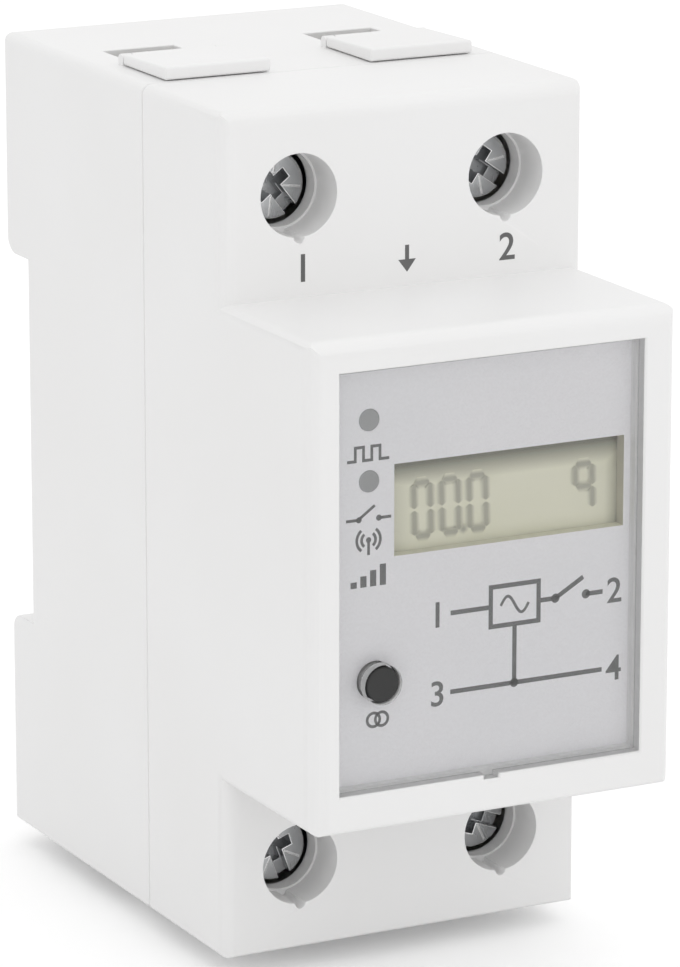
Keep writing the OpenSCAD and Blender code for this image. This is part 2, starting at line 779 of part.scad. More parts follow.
module front_cover() {
  hw = opening_w / 2;
  hh = opening_h / 2;
  color(case_white)
    difference() {
      union() {
        difference() {
          cover_solid();
          block([-inner_x, inner_x], [y_term + wall, y_seam], [-ceiling_z, ceiling_z]);
          block([-inner_x, inner_x], [label_y0, y_seam], [nose_bottom + wall, nose_top - wall]);
        }
        at_corners() {
          cover_chamber();
          cover_tongue();
        }
        for (side = [-1, 1])
          for (flip = [0, 1])
            mirror([flip, 0, 0]) cover_boss(side);
      }
      at_corners() cover_hole();
      for (c = corners)
        cover_notch(c);
      translate([opening_x, 0, opening_z]) {
        block([-hw, hw], [y_front - cut, window_y1], [-hh, hh]);
        block([-ledge_hw, ledge_hw], [y_front - cut, label_y0 + eps], [-ledge_hh, ledge_hh]);
        block(
          [-tab_w / 2 - window_gap, tab_w / 2 + window_gap],
          [y_front - cut, window_y1],
          [-hh - tab_h, -hh + cut]
        );
      }
      at_bosses()
        rod_y(board_screw_r + thread_gap, [board_y0 - board_screw_l - thread_gap, board_y0 + cut]);
    }
}

module clear_window() {
  hw = opening_w / 2 - window_gap;
  hh = opening_h / 2 - window_gap;
  color(clear_tint)
    difference() {
      translate([opening_x, 0, opening_z]) {
        block([-hw, hw], [window_y0, window_y1], [-hh, hh]);
        block([-tab_w / 2, tab_w / 2], [window_y0, window_y1], [-hh - tab_h, -hh + eps]);
      }
      translate([button_x, 0, button_z])
        rod_y(button_hole_r, [window_y0 - cut, window_y1 + cut]);
    }
}

// Places of the two indicator windows
module at_dots() {
  for (z = [dot_z, dot_z - dot_pitch])
    translate([dot_x, 0, z]) children();
}

module label_plate() {
  hw = ledge_hw + label_lap;
  hh = ledge_hh + label_lap;
  through = [label_y0 - cut, label_y1 + cut];
  color(label_grey)
    difference() {
      translate([opening_x, 0, opening_z])
        block([-hw, hw], [label_y0, label_y1], [-hh, hh]);
      translate([aperture_x, 0, aperture_z])
        block([-aperture_w / 2, aperture_w / 2], through, [-aperture_h / 2, aperture_h / 2]);
      at_dots() rod_y(dot_r, through);
      translate([button_x, 0, button_z])
        rod_y(button_label_r, through);
    }
}

module indicator_windows() {
  color(dot_grey)
    at_dots() rod_y(dot_r - dot_gap, [label_y0, label_y1]);
}

module lcd_panel() {
  color(lcd_green)
    translate([aperture_x, 0, aperture_z])
      block([-glass_hw, glass_hw], [glass_y0, glass_y1], [-glass_hh, glass_hh]);
}

// Places of the two contact strips, along the long edges of the glass
module at_strips() {
  for (z = [-strip_z, strip_z])
    translate([aperture_x, 0, aperture_z + z]) children();
}

module lcd_holder() {
  room_hw = holder_hw - holder_t;
  room_hh = holder_hh - holder_t;
  color(case_white)
    difference() {
      translate([aperture_x, 0, aperture_z])
        difference() {
          block([-holder_hw, holder_hw], [glass_y0 + holder_back, board_y0], [-holder_hh, holder_hh]);
          block([-room_hw, room_hw], [glass_y0 - cut, glass_y1], [-room_hh, room_hh]);
        }
      at_strips()
        block(
          [-strip_l / 2 - strip_gap, strip_l / 2 + strip_gap],
          [glass_y0, board_y0 + cut],
          [-strip_w / 2 - strip_gap, strip_w / 2 + strip_gap]
        );
    }
}

module contact_strips() {
  color(strip_rubber)
    at_strips()
      block([-strip_l / 2, strip_l / 2], [glass_y1, board_y0], [-strip_w / 2, strip_w / 2]);
}

module display_board() {
  hw = inner_x - board_gap;
  color(board_green)
    difference() {
      block([-hw, hw], [board_y0, board_y1], [nose_bottom + wall + board_gap, nose_top - wall - board_gap]);
      at_bosses() rod_y(board_screw_r + board_hole_gap, [board_y0 - cut, board_y1 + cut]);
    }
}

module board_screws() {
  color(zinc)
    at_bosses() {
      rod_y(board_screw_r, [board_y0 - board_screw_l, board_y1 + eps]);
      rod_y(board_head_r, [board_y1, board_y1 + board_head_t]);
    }
}

module status_leds() {
  color(lamp_clear)
    at_dots() rod_y(led_r, [label_y1 + glass_gap, board_y0]);
}

module tact_switch() {
  hw = switch_w / 2;
  color(component_black)
    translate([button_x, 0, button_z])
      difference() {
        block([-hw, hw], [switch_y0, board_y0], [-hw, hw]);
        rod_y(button_r + button_gap, [switch_y0 - cut, switch_y0 + switch_bore]);
      }
}

module pair_button() {
  color(button_black)
    translate([button_x, 0, button_z])
      rod_y(button_r, [window_y0 + button_sink, switch_y0 + button_grip]);
}

module metering_board() {
  color(board_green)
    block([meter_x, meter_x1], [meter_y0, meter_y1], [-meter_h, meter_h]);
}

// The wireless module stands on the board's left face, behind the header
module wireless_module() {
  y0 = meter_y0 + header_grip + part_gap;
  y1 = y0 + wireless_d;
  z1 = meter_h - part_gap;
  z0 = z1 - wireless_h;
  x0 = meter_x - wireless_t;
  m = shield_margin;
  color(component_black) {
    block([x0, meter_x], [y0, y1], [z0, z1]);
    block([x0 - shield_t, x0 + eps], [y0 + m, y1 - m], [z0 + m, z1 - aerial_h]);
  }
}

module metering_chip() {
  y1 = before_tongue - part_gap;
  color(component_black)
    block([meter_x1, meter_x1 + chip_t], [y1 - chip_d, y1], [-chip_h / 2, chip_h / 2]);
}

// The header joins the metering board's front edge to the display board
module board_header() {
  color(component_black)
    block([meter_x - header_t, meter_x], [board_y1, meter_y0 + header_grip], [-header_h / 2, header_h / 2]);
}

module supply_capacitor() {
  color(component_black)
    translate([0, before_tongue - supply_r, meter_h - 2 * part_gap - wireless_h - supply_r])
      rod_x(supply_r, [meter_x - supply_l, meter_x]);
}

// Supply parts on the board's left face, behind the neutral busbar
module filter_capacitor() {
  z0 = -meter_h + part_gap;
  color(film_yellow)
    block([meter_x - filter_w, meter_x], [behind_bar, behind_bar + filter_d], [z0, z0 + filter_h]);
}

module supply_transformer() {
  z1 = meter_h - part_gap;
  color(component_black)
    block(
      [meter_x - transformer_w, meter_x],
      [behind_bar, behind_bar + transformer_d],
      [z1 - transformer_h, z1]
    );
}

module varistor() {
  x = meter_x - varistor_r - 2 * lead_r;
  z = -meter_h + 2 * part_gap + filter_h + varistor_r;
  color(disc_blue)
    translate([0, behind_bar + varistor_t / 2, z]) {
      translate([x, 0, 0])
        rod_y(varistor_r, [-varistor_t / 2, varistor_t / 2]);
      for (side = [-1, 1])
        translate([0, 0, side * varistor_r / 2])
          rod_x(lead_r, [x, meter_x]);
    }
}

module latching_relay() {
  color(component_black)
    block([relay_x0, relay_x1], [relay_y0, y_floor], [-relay_h / 2, relay_h / 2]);
}

// A strip of the line path at the terminals' middle
module strip(w, z) {
  block([terminal_x - w / 2, terminal_x + w / 2], [bar_y0, bar_y1], z);
}
module relay_foot(z) {
  block([terminal_x - bar_w / 2, terminal_x + bar_w / 2], [bar_y0, relay_y0], z);
}

module relay_bridge() {
  color(copper) {
    strip(bar_w, [foot_z, bridge_top]);
    relay_foot([foot_z, foot_z + bar_t]);
  }
}

module current_shunt() {
  color(manganin)
    strip(shunt_w, [bridge_top, shunt_top]);
}

module line_in_busbar() {
  color(copper)
    strip(bar_w, [shunt_top, bar_end]);
}

module line_out_busbar() {
  color(copper) {
    strip(bar_w, [-bar_end, -foot_z]);
    relay_foot([-foot_z - bar_t, -foot_z]);
  }
}

module neutral_busbar() {
  color(copper)
    mirror([1, 0, 0])
      strip(bar_w, [-bar_end, bar_end]);
}

// Combined slot and cross head on a plain shank; the slot's angle differs from screw to screw
module terminal_screw(c, angle) {
  tip = bar_y0 - bar_gap - head_y0;
  color(zinc)
    translate([c.x * terminal_x, head_y0, c.y * terminal_z])
      rotate([-90, 0, 0])
        rotate([0, 0, angle])
          difference() {
            rotate_extrude()
              polygon([
                [0, 0], [head_r - head_chamfer, 0], [head_r, head_chamfer], [head_r, head_t],
                [screw_r, head_t], [screw_r, tip], [0, tip]
              ]);
            block([-head_r, head_r], [-slot_w / 2, slot_w / 2], [-cut, slot_d]);
            for (turn_by = [0, 90])
              rotate([0, 0, turn_by])
                block([-cross_r, cross_r], [-cross_w / 2, cross_w / 2], [-cut, cross_d]);
          }
}

// Closed steel loop: the screw's thread is in its front wall, the wire is held by its rear wall
module terminal_cage(c) {
  hw = cage_w / 2;
  hh = cage_h / 2;
  color(cage_steel)
    translate([c.x * terminal_x, 0, c.y * terminal_z])
      difference() {
        block([-hw, hw], [cage_y0, cage_y1], [-hh, hh]);
        block(
          [-hw + cage_side_t, hw - cage_side_t],
          [cage_y0 + cage_front_t, cage_y1 - cage_floor_t],
          [-hh - cut, hh + cut]
        );
        rod_y(screw_r + thread_gap, [cage_y0 - cut, cage_y0 + cage_front_t + cut]);
      }
}

// Plate that thins towards the barrel of its hinge, with two stub pins and room for the cheeks
module entry_flap(c) {
  half_t = flap_t / 2;
  front = half_t - flap_l;
  color(case_white)
    at_corner(c)
      translate([terminal_x, hinge_y, hinge_z]) {
        difference() {
          along_x(flap_w)
            polygon([[front, -half_t], [0, -half_t], [0, half_t], [front, flap_front_t - half_t]]);
          for (flip = [0, 1])
            mirror([flip, 0, 0])
              block([flap_neck, flap_w], [-half_t - flap_gap, cut], [-cut, cut]);
        }
        rod_x(half_t, [-flap_neck, flap_neck]);
        rod_x(pin_r, [-flap_neck - pin_l, flap_neck + pin_l]);
      }
}

module rail_latch() {
  hw = latch_w / 2;
  color(case_white)
    difference() {
      union() {
        along_x(latch_w)
          polygon([
            [latch_y0, latch_bottom], [latch_y1, latch_bottom], [latch_y1, claw_z - hook_reach],
            [latch_y0 + latch_t / 2, latch_top], [latch_y0, latch_top]
          ]);
        block([-hw - wing_w, hw + wing_w], [latch_y0, latch_y0 + wing_t], [wing_bottom, wing_top]);
      }
      block(
        [-spring_room, spring_room],
        [latch_y0 - cut, latch_y1 + cut],
        [spring_bottom - spring_ledge - latch_gap, spring_top]
      );
      block(
        [-pull_w / 2, pull_w / 2],
        [latch_y0 - cut, latch_y1 + cut],
        [latch_bottom + pull_edge, latch_bottom + tail_l]
      );
    }
}

// Spring: one wire swept along a helix
function spring_angle(i) = 360 * spring_turns * i / spring_rings;
function spring_point(i) = [
  spring_r * cos(spring_angle(i)),
  spring_y + spring_r * sin(spring_angle(i)),
  spring_bottom + spring_wire / 2 + eps + spring_rise * i / spring_rings
];
function spring_ring(i) =
  let (out = [cos(spring_angle(i)), sin(spring_angle(i)), 0])
  [
    for (k = [0:spring_sides - 1])
      spring_point(i)
        + spring_wire / 2 * (cos(360 * k / spring_sides) * out + sin(360 * k / spring_sides) * [0, 0, 1])
  ];

// Least gap between turns, measured between points that lie half a turn or more apart
function spring_gap() =
  min([
    for (i = [0:spring_rings])
      for (j = [i + spring_steps / 2:1:spring_rings])
        norm(spring_point(i) - spring_point(j))
  ]) - spring_wire;
echo(spring_least_gap = spring_gap());

module latch_spring() {
  n = spring_sides;
  last = spring_rings * n;
  points = [for (i = [0:spring_rings]) each spring_ring(i)];
  sides = [
    for (i = [0:spring_rings - 1])
      for (k = [0:n - 1])
        let (a = i * n + k, b = i * n + (k + 1) % n)
        each [[a, b, b + n], [a, b + n, a + n]]
  ];
  caps = [
    for (k = [1:n - 2])
      each [[0, k + 1, k], [last, last + k, last + k + 1]]
  ];
  color(spring_steel)
    polyhedron(points, concat(sides, caps));
}

rear_housing();
front_cover();
clear_window();
label_plate();
indicator_windows();
lcd_panel();
lcd_holder();
contact_strips();
display_board();
board_screws();
status_leds();
tact_switch();
pair_button();
metering_board();
wireless_module();
metering_chip();
board_header();
supply_capacitor();
filter_capacitor();
supply_transformer();
varistor();
latching_relay();
relay_bridge();
current_shunt();
line_in_busbar();
line_out_busbar();
neutral_busbar();
terminal_screw(corners[0], neutral_in_angle);  // neutral_in_screw
terminal_screw(corners[1], line_in_angle);  // line_in_screw
terminal_screw(corners[2], neutral_out_angle);  // neutral_out_screw
terminal_screw(corners[3], line_out_angle);  // line_out_screw
terminal_cage(corners[0]);  // neutral_in_cage
terminal_cage(corners[1]);  // line_in_cage
terminal_cage(corners[2]);  // neutral_out_cage
terminal_cage(corners[3]);  // line_out_cage
entry_flap(corners[0]);  // neutral_in_flap
entry_flap(corners[1]);  // line_in_flap
entry_flap(corners[2]);  // neutral_out_flap
entry_flap(corners[3]);  // line_out_flap
rail_latch();
latch_spring();
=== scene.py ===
# %% [markdown]
# # A rail-mounted energy monitor, dressed in Blender
#
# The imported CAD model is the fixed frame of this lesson. It gives every piece its place, its size and
# its joints. Blender adds what CAD leaves out: broken edges, print, figures on the display, the wound
# spring, and a finish for each material.

# %% Load the frame
import json
from math import cos, pi, radians, sin
import bmesh
import bpy
from mathutils import Matrix, Vector


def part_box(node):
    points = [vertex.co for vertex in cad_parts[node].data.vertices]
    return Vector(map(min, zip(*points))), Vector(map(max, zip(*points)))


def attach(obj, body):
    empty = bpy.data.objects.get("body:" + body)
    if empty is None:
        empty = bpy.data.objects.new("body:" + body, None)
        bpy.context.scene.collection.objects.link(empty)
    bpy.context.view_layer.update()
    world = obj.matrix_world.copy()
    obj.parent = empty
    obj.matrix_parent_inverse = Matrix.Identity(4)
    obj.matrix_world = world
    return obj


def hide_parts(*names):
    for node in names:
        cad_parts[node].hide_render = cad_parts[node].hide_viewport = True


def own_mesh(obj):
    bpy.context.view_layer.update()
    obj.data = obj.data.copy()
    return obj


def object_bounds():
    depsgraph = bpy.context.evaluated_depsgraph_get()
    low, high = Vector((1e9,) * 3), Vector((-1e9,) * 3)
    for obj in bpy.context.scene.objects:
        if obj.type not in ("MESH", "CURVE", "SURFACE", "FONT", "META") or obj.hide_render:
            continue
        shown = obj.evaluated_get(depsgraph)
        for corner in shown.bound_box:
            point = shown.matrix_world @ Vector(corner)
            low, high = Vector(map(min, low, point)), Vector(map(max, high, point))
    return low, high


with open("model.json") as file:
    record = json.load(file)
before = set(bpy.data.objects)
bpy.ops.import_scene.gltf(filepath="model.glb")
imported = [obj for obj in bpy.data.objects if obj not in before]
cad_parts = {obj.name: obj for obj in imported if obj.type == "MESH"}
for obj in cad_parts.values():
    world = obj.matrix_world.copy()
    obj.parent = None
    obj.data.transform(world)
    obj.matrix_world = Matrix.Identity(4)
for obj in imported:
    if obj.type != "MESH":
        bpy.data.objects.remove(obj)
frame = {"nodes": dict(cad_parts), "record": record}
cad_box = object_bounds()
nodes = frame["nodes"]
MM = 0.001
print(len(nodes), "CAD nodes in a box of", [round(side / MM, 1) for side in cad_box[1] - cad_box[0]], "mm")

# %% [markdown]
# ## The camera
#
# The object was photographed from its upper left with a long lens, so its upright edges stay nearly
# parallel. The place and the lens were solved from the corners of the case, so they are set as numbers
# rather than by eye.

# %% Camera
CAMERA_PLACE = Vector((-0.2212, -0.4598, 0.1264))
CAMERA_AIM = Vector((0.00553, -0.01864, -0.00246))
LENS, SENSOR = 202.5, 36
CLIP_NEAR, CLIP_FAR = 0.05, 20

camera_data = bpy.data.cameras.new("camera")
camera_data.lens = LENS
camera_data.sensor_width = SENSOR
camera_data.clip_start = CLIP_NEAR
camera_data.clip_end = CLIP_FAR
camera = bpy.data.objects.new("camera", camera_data)
bpy.context.scene.collection.objects.link(camera)
camera.location = CAMERA_PLACE
camera.rotation_mode = "QUATERNION"
camera.rotation_quaternion = (CAMERA_AIM - CAMERA_PLACE).to_track_quat("-Z", "Y")
bpy.context.scene.camera = camera
bpy.context.scene.view_settings.view_transform = "Standard"
print("camera", round((CAMERA_AIM - CAMERA_PLACE).length, 3), "m from its aim")

# %% [markdown]
# ## Helpers for modelling
#
# An operator works on whatever is selected, and loading the frame leaves every CAD node selected. So
# each step first selects one object alone. A CAD node's mesh is a heap of loose triangles. A copy of it
# is welded and its flat areas are joined, and only then can its edges be found and rounded.

# %% Selecting, welding and rounding
WELD = 2e-6
FLAT = radians(0.4)
SHARP = radians(28)
SMOOTH = radians(35)


def only(piece):
    bpy.ops.object.select_all(action="DESELECT")
    piece.select_set(True)
    bpy.context.view_layer.objects.active = piece


def edit(piece):
    only(piece)
    bpy.ops.object.mode_set(mode="EDIT")
    bpy.ops.mesh.select_mode(type="EDGE")
    bpy.ops.mesh.select_all(action="SELECT")


def done():
    bpy.ops.object.mode_set(mode="OBJECT")


def joined(pieces, name):
    """Several objects made one."""
    only(pieces[0])
    for piece in pieces:
        piece.select_set(True)
    bpy.ops.object.join()
    made = bpy.context.object
    made.name = name
    return made


def welded_copy(node, name):
    """A free copy of a CAD node, welded, with its flat areas made whole."""
    piece = bpy.data.objects.new(name, nodes[node].data.copy())
    bpy.context.scene.collection.objects.link(piece)
    piece.data.materials.clear()
    edit(piece)
    bpy.ops.mesh.customdata_custom_splitnormals_clear()
    bpy.ops.mesh.remove_doubles(threshold=WELD)
    bpy.ops.mesh.dissolve_limited(angle_limit=FLAT)
    done()
    return piece


def round_edges(piece, chosen, width, segments=2):
    """Bevels the sharp outer edges that chosen(edge's two ends) picks."""
    edit(piece)
    bpy.ops.mesh.select_all(action="DESELECT")
    mesh = bmesh.from_edit_mesh(piece.data)
    count = 0
    for edge in mesh.edges:
        if len(edge.link_faces) != 2 or not edge.is_convex or edge.calc_face_angle() < SHARP:
            continue
        if chosen(edge.verts[0].co / MM, edge.verts[1].co / MM):
            edge.select_set(True)
            count += 1
    bmesh.update_edit_mesh(piece.data)
    if count:
        bpy.ops.mesh.bevel(offset=width * MM, segments=segments, affect="EDGES", clamp_overlap=False)
    done()
    return count


def smooth(piece):
    """Smooth shading that keeps large flat faces flat."""
    only(piece)
    bpy.ops.object.shade_smooth_by_angle(angle=SMOOTH)
    even = piece.modifiers.new("even", "WEIGHTED_NORMAL")
    even.keep_sharp = True
    bpy.ops.object.modifier_apply(modifier=even.name)


def every_edge(a, b):
    return True


def settle(piece, body, finish, replaced=()):
    """Gives a finished piece its finish, its body and the nodes that it stands for."""
    piece.data.materials.clear()
    piece.data.materials.append(finish)
    for node in replaced:
        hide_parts(node)
    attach(piece, body)
    print(piece.name, "on", body, "with", len(piece.data.polygons), "faces")


# %% [markdown]
# ## Effects that several finishes share
#
# Moulded plastic is never one flat colour. The mould leaves a fine grain, and the colour drifts a
# little over a long face. Metal carries drawn or turned lines. Each effect is a node group that puts
# out values alone, so every material can place it with its own scale and strength.

# %% Helpers for node trees
def new_group(name, inputs, outputs):
    group = bpy.data.node_groups.new(name, "ShaderNodeTree")
    for title, value in inputs:
        socket = group.interface.new_socket(title, in_out="INPUT", socket_type="NodeSocketFloat")
        socket.default_value = value
    for title in outputs:
        group.interface.new_socket(title, in_out="OUTPUT", socket_type="NodeSocketFloat")
    start = group.nodes.new("NodeGroupInput")
    end = group.nodes.new("NodeGroupOutput")
    return group, start, end


def add(tree, kind, **values):
    """A new node; keyword names are its attributes, or its inputs where it has no such attribute."""
    node = tree.nodes.new(kind)
    for name, value in values.items():
        if hasattr(node, name):
            setattr(node, name, value)
        else:
            node.inputs[name.replace("_", " ")].default_value = value
    return node


def noise_in(group, start, scale_title, detail, stretch=(1, 1, 1)):
    """A noise texture on Object coordinates whose scale comes from a group input."""
    place = add(group, "ShaderNodeTexCoord")
    turn = add(group, "ShaderNodeMapping", Scale=stretch)
    noise = add(group, "ShaderNodeTexNoise", Detail=detail)
    group.links.new(place.outputs["Object"], turn.inputs["Vector"])
    group.links.new(turn.outputs["Vector"], noise.inputs["Vector"])
    group.links.new(start.outputs[scale_title], noise.inputs["Scale"])
    return noise


def strongest(tree, *values):
    """The largest of several values."""
    best = values[0]
    for value in values[1:]:
        larger = add(tree, "ShaderNodeMath", operation="MAXIMUM")
        tree.links.new(best, larger.inputs[0])
        tree.links.new(value, larger.inputs[1])
        best = larger.outputs["Value"]
    return best


# %% Grain, lines and flakes
LINE_STRETCH = (1, 0.06, 0.3)

moulded, start, end = new_group(
    "moulded skin", [("Grain Scale", 2600), ("Drift Scale", 45)], ["Grain", "Drift"]
)
grain = noise_in(moulded, start, "Grain Scale", 3)
drift = noise_in(moulded, start, "Drift Scale", 2)
moulded.links.new(grain.outputs["Fac"], end.inputs["Grain"])
moulded.links.new(drift.outputs["Fac"], end.inputs["Drift"])

drawn, start, end = new_group(
    "drawn lines", [("Line Scale", 900), ("Stain Scale", 160)], ["Lines", "Stain"]
)
lines = noise_in(drawn, start, "Line Scale", 4, stretch=LINE_STRETCH)
stain = noise_in(drawn, start, "Stain Scale", 4)
drawn.links.new(lines.outputs["Fac"], end.inputs["Lines"])
drawn.links.new(stain.outputs["Fac"], end.inputs["Stain"])

flaked, start, end = new_group("metal flakes", [("Flake Scale", 6000)], ["Flakes"])
place = add(flaked, "ShaderNodeTexCoord")
flakes = add(flaked, "ShaderNodeTexVoronoi", feature="F1")
flaked.links.new(place.outputs["Object"], flakes.inputs["Vector"])
flaked.links.new(start.outputs["Flake Scale"], flakes.inputs["Scale"])
split = add(flaked, "ShaderNodeSeparateColor")
flaked.links.new(flakes.outputs["Color"], split.inputs["Color"])
flaked.links.new(split.outputs["Red"], end.inputs["Flakes"])
print([group.name for group in bpy.data.node_groups])

# %% [markdown]
# The display is set back behind the label, so the edges of its opening shade it at the top and at both
# sides. That shade is painted into the display's colour. Each edge has a reach, over which its painted
# shade fades out, and a depth. The shade of the left edge fades out towards the right, so its reach is
# negative.

# %% Painted shade of the display's opening
APERTURE_LEFT, APERTURE_RIGHT = -9.0, 13.9
APERTURE_BOTTOM, APERTURE_TOP = 1.65, 9.9

painted_edge_shade, start, end = new_group(
    "frame shade",
    [("Right", APERTURE_RIGHT * MM), ("Right Reach", 1.2 * MM), ("Right Depth", 0.4),
     ("Left", APERTURE_LEFT * MM), ("Left Reach", -2.4 * MM), ("Left Depth", 0.3),
     ("Top", APERTURE_TOP * MM), ("Top Reach", 2.6 * MM), ("Top Depth", 1.3)],
    ["Shade"],
)
place = add(painted_edge_shade, "ShaderNodeTexCoord")
axes = add(painted_edge_shade, "ShaderNodeSeparateXYZ")
painted_edge_shade.links.new(place.outputs["Object"], axes.inputs["Vector"])
shades = []
for axis, edge in (("X", "Right"), ("X", "Left"), ("Z", "Top")):
    inset = add(painted_edge_shade, "ShaderNodeMath", operation="SUBTRACT")
    share = add(painted_edge_shade, "ShaderNodeMath", operation="DIVIDE")
    lift = add(painted_edge_shade, "ShaderNodeMath", operation="ADD", use_clamp=True)
    lift.inputs[1].default_value = 1
    depth = add(painted_edge_shade, "ShaderNodeMath", operation="MULTIPLY")
    painted_edge_shade.links.new(axes.outputs[axis], inset.inputs[0])
    painted_edge_shade.links.new(start.outputs[edge], inset.inputs[1])
    painted_edge_shade.links.new(inset.outputs["Value"], share.inputs[0])
    painted_edge_shade.links.new(start.outputs[edge + " Reach"], share.inputs[1])
    painted_edge_shade.links.new(share.outputs["Value"], lift.inputs[0])
    painted_edge_shade.links.new(lift.outputs["Value"], depth.inputs[0])
    painted_edge_shade.links.new(start.outputs[edge + " Depth"], depth.inputs[1])
    shades.append(depth.outputs["Value"])
painted_edge_shade.links.new(strongest(painted_edge_shade, *shades), end.inputs["Shade"])
print(painted_edge_shade.name, "from", len(shades), "edges")

# %% [markdown]
# ## Finishes
#
# The case is white polycarbonate from a spark-eroded mould, the label is a silver-grey film, and the
# screws are bright zinc. A plastic is a Principled shader whose colour moves between two close tones
# and whose bump is the mould's grain. A metal has the same shader with lines in place of grain.

# %% Helpers for finishes
# Most values of a noise texture lie in this span.
SPAN = (0.3, 0.7)


def new_material(name, **values):
    """A material with one Principled shader; the values are set on its own sockets."""
    material = bpy.data.materials.new(name)
    material.use_nodes = True
    tree = material.node_tree
    shader = tree.nodes["Principled BSDF"]
    for socket, value in values.items():
        shader.inputs[socket.replace("_", " ")].default_value = value
    return material, tree, shader


def use_group(tree, group, **values):
    node = add(tree, "ShaderNodeGroup", node_tree=group)
    for socket, value in values.items():
        node.inputs[socket.replace("_", " ")].default_value = value
    return node


def tint(tree, factor, low, high, shader, span=SPAN):
    """Colours the shader between two tones, by a factor that mostly lies within span."""
    ramp = add(tree, "ShaderNodeValToRGB")
    ramp.color_ramp.elements[0].position = span[0]
    ramp.color_ramp.elements[1].position = span[1]
    ramp.color_ramp.elements[0].color = (*low, 1)
    ramp.color_ramp.elements[1].color = (*high, 1)
    tree.links.new(factor, ramp.inputs["Fac"])
    tree.links.new(ramp.outputs["Color"], shader.inputs["Base Color"])
    return ramp


def spread(tree, factor, low, high, shader):
    """Lets the roughness move between low and high."""
    scale = add(tree, "ShaderNodeMapRange")
    scale.inputs["From Min"].default_value = SPAN[0]
    scale.inputs["From Max"].default_value = SPAN[1]
    scale.inputs["To Min"].default_value = low
    scale.inputs["To Max"].default_value = high
    tree.links.new(factor, scale.inputs["Value"])
    tree.links.new(scale.outputs["Result"], shader.inputs["Roughness"])


def bump(tree, height, shader, strength, depth):
    node = add(tree, "ShaderNodeBump", Strength=strength, Distance=depth * MM)
    tree.links.new(height, node.inputs["Height"])
    tree.links.new(node.outputs["Normal"], shader.inputs["Normal"])


def grey(value, warm=0.0):
    return (value * (1 + warm), value, value * (1 - warm))


# %% Plastic, rubber and ink
GRAIN_STRENGTH, GRAIN_DEPTH = 0.35, 0.01
GRAIN_GLOSS = 0.04


def plastic(name, low, high, rough, grain=2600):
    """Moulded plastic whose tone drifts from low to high and whose skin has the mould's grain."""
    material, tree, shader = new_material(name)
    skin = use_group(tree, moulded, Grain_Scale=grain)
    tint(tree, skin.outputs["Drift"], low, high, shader)
    spread(tree, skin.outputs["Grain"], rough - GRAIN_GLOSS, rough + GRAIN_GLOSS, shader)
    bump(tree, skin.outputs["Grain"], shader, GRAIN_STRENGTH, GRAIN_DEPTH)
    return material


case_white = plastic("case_white", grey(0.84, 0.005), grey(0.86, 0.002), 0.46)
indicator_grey = plastic("indicator_grey", grey(0.345, -0.01), grey(0.38, -0.01), 0.6, grain=3400)
button_black = plastic("button_black", grey(0.012), grey(0.019), 0.42)
component_black = plastic("component_black", grey(0.014), grey(0.022), 0.55, grain=4000)
contact_rubber = plastic("contact_rubber", grey(0.05), grey(0.3), 0.7, grain=9000)
film_yellow = plastic("film_yellow", (0.62, 0.42, 0.03), (0.72, 0.5, 0.05), 0.35)
disc_blue = plastic("disc_blue", (0.02, 0.08, 0.28), (0.03, 0.11, 0.36), 0.4)
board_green = plastic("board_green", (0.012, 0.11, 0.035), (0.02, 0.15, 0.05), 0.38, grain=1400)
print_grey = plastic("print_grey", grey(0.11), grey(0.14), 0.6, grain=5000)
# The label's right cut edge lies in shade, and this darker colour paints that shade.
painted_shade_wall = plastic("painted_shade_wall", (0.54, 0.51, 0.41), (0.6, 0.57, 0.46), 0.6)
aperture_sill = plastic("aperture_sill", (0.8, 0.79, 0.62), (0.86, 0.85, 0.68), 0.6)
pane_edge = plastic("pane_edge", grey(0.9), grey(0.96), 0.5, grain=1200)
button_stem = plastic("button_stem", grey(0.3), grey(0.38), 0.5)
print(len(bpy.data.materials), "plain finishes")

# %% Label film
LABEL_TONES = ((0.94, 0.93, 0.955), (0.985, 0.975, 1.0))
FLAKE_STRENGTH, FLAKE_DEPTH = 0.08, 0.005

label_silver, tree, shader = new_material("label_silver")
flakes = use_group(tree, flaked)
tint(tree, flakes.outputs["Flakes"], *LABEL_TONES, shader, span=(0.0, 1.0))
skin = use_group(tree, moulded, Grain_Scale=1800)
spread(tree, skin.outputs["Drift"], 0.44, 0.52, shader)
bump(tree, flakes.outputs["Flakes"], shader, FLAKE_STRENGTH, FLAKE_DEPTH)
print("label", label_silver.name)

# %% [markdown]
# The pane is clear acrylic, and the lamps on the board are clear resin. Both let light through, so
# they get transmission, a plain index of refraction, and only a breath of unevenness in the gloss. The
# display is a glass sandwich over a grey-green reflector. Its polariser film draws faint upright lines.

# %% Clear pieces
clear_pane, tree, shader = new_material("clear_pane", IOR=1.49, Transmission_Weight=1.0)
skin = use_group(tree, moulded, Grain_Scale=300, Drift_Scale=60)
tint(tree, skin.outputs["Drift"], (0.985, 0.99, 0.99), (1.0, 1.0, 1.0), shader)
spread(tree, skin.outputs["Grain"], 0.0, 0.02, shader)

lamp_clear, tree, shader = new_material("lamp_clear", IOR=1.5, Transmission_Weight=0.8)
skin = use_group(tree, moulded)
tint(tree, skin.outputs["Drift"], (0.8, 0.82, 0.82), (0.9, 0.9, 0.9), shader)
spread(tree, skin.outputs["Grain"], 0.1, 0.2, shader)
print("clear", clear_pane.name, lamp_clear.name)

# %% [markdown]
# The painted shade of its opening is mixed over the tone of the display. The sockets of a colour Mix
# node share their names with those for plain values, so they are picked by their number.

# %% Display glass
LCD_TONES = ((0.84, 0.83, 0.645), (0.9, 0.885, 0.715))
LCD_SHADE = (0.15, 0.15, 0.1, 1)
MIX_FACTOR, MIX_FIRST, MIX_SECOND, MIX_RESULT = 0, 6, 7, 2

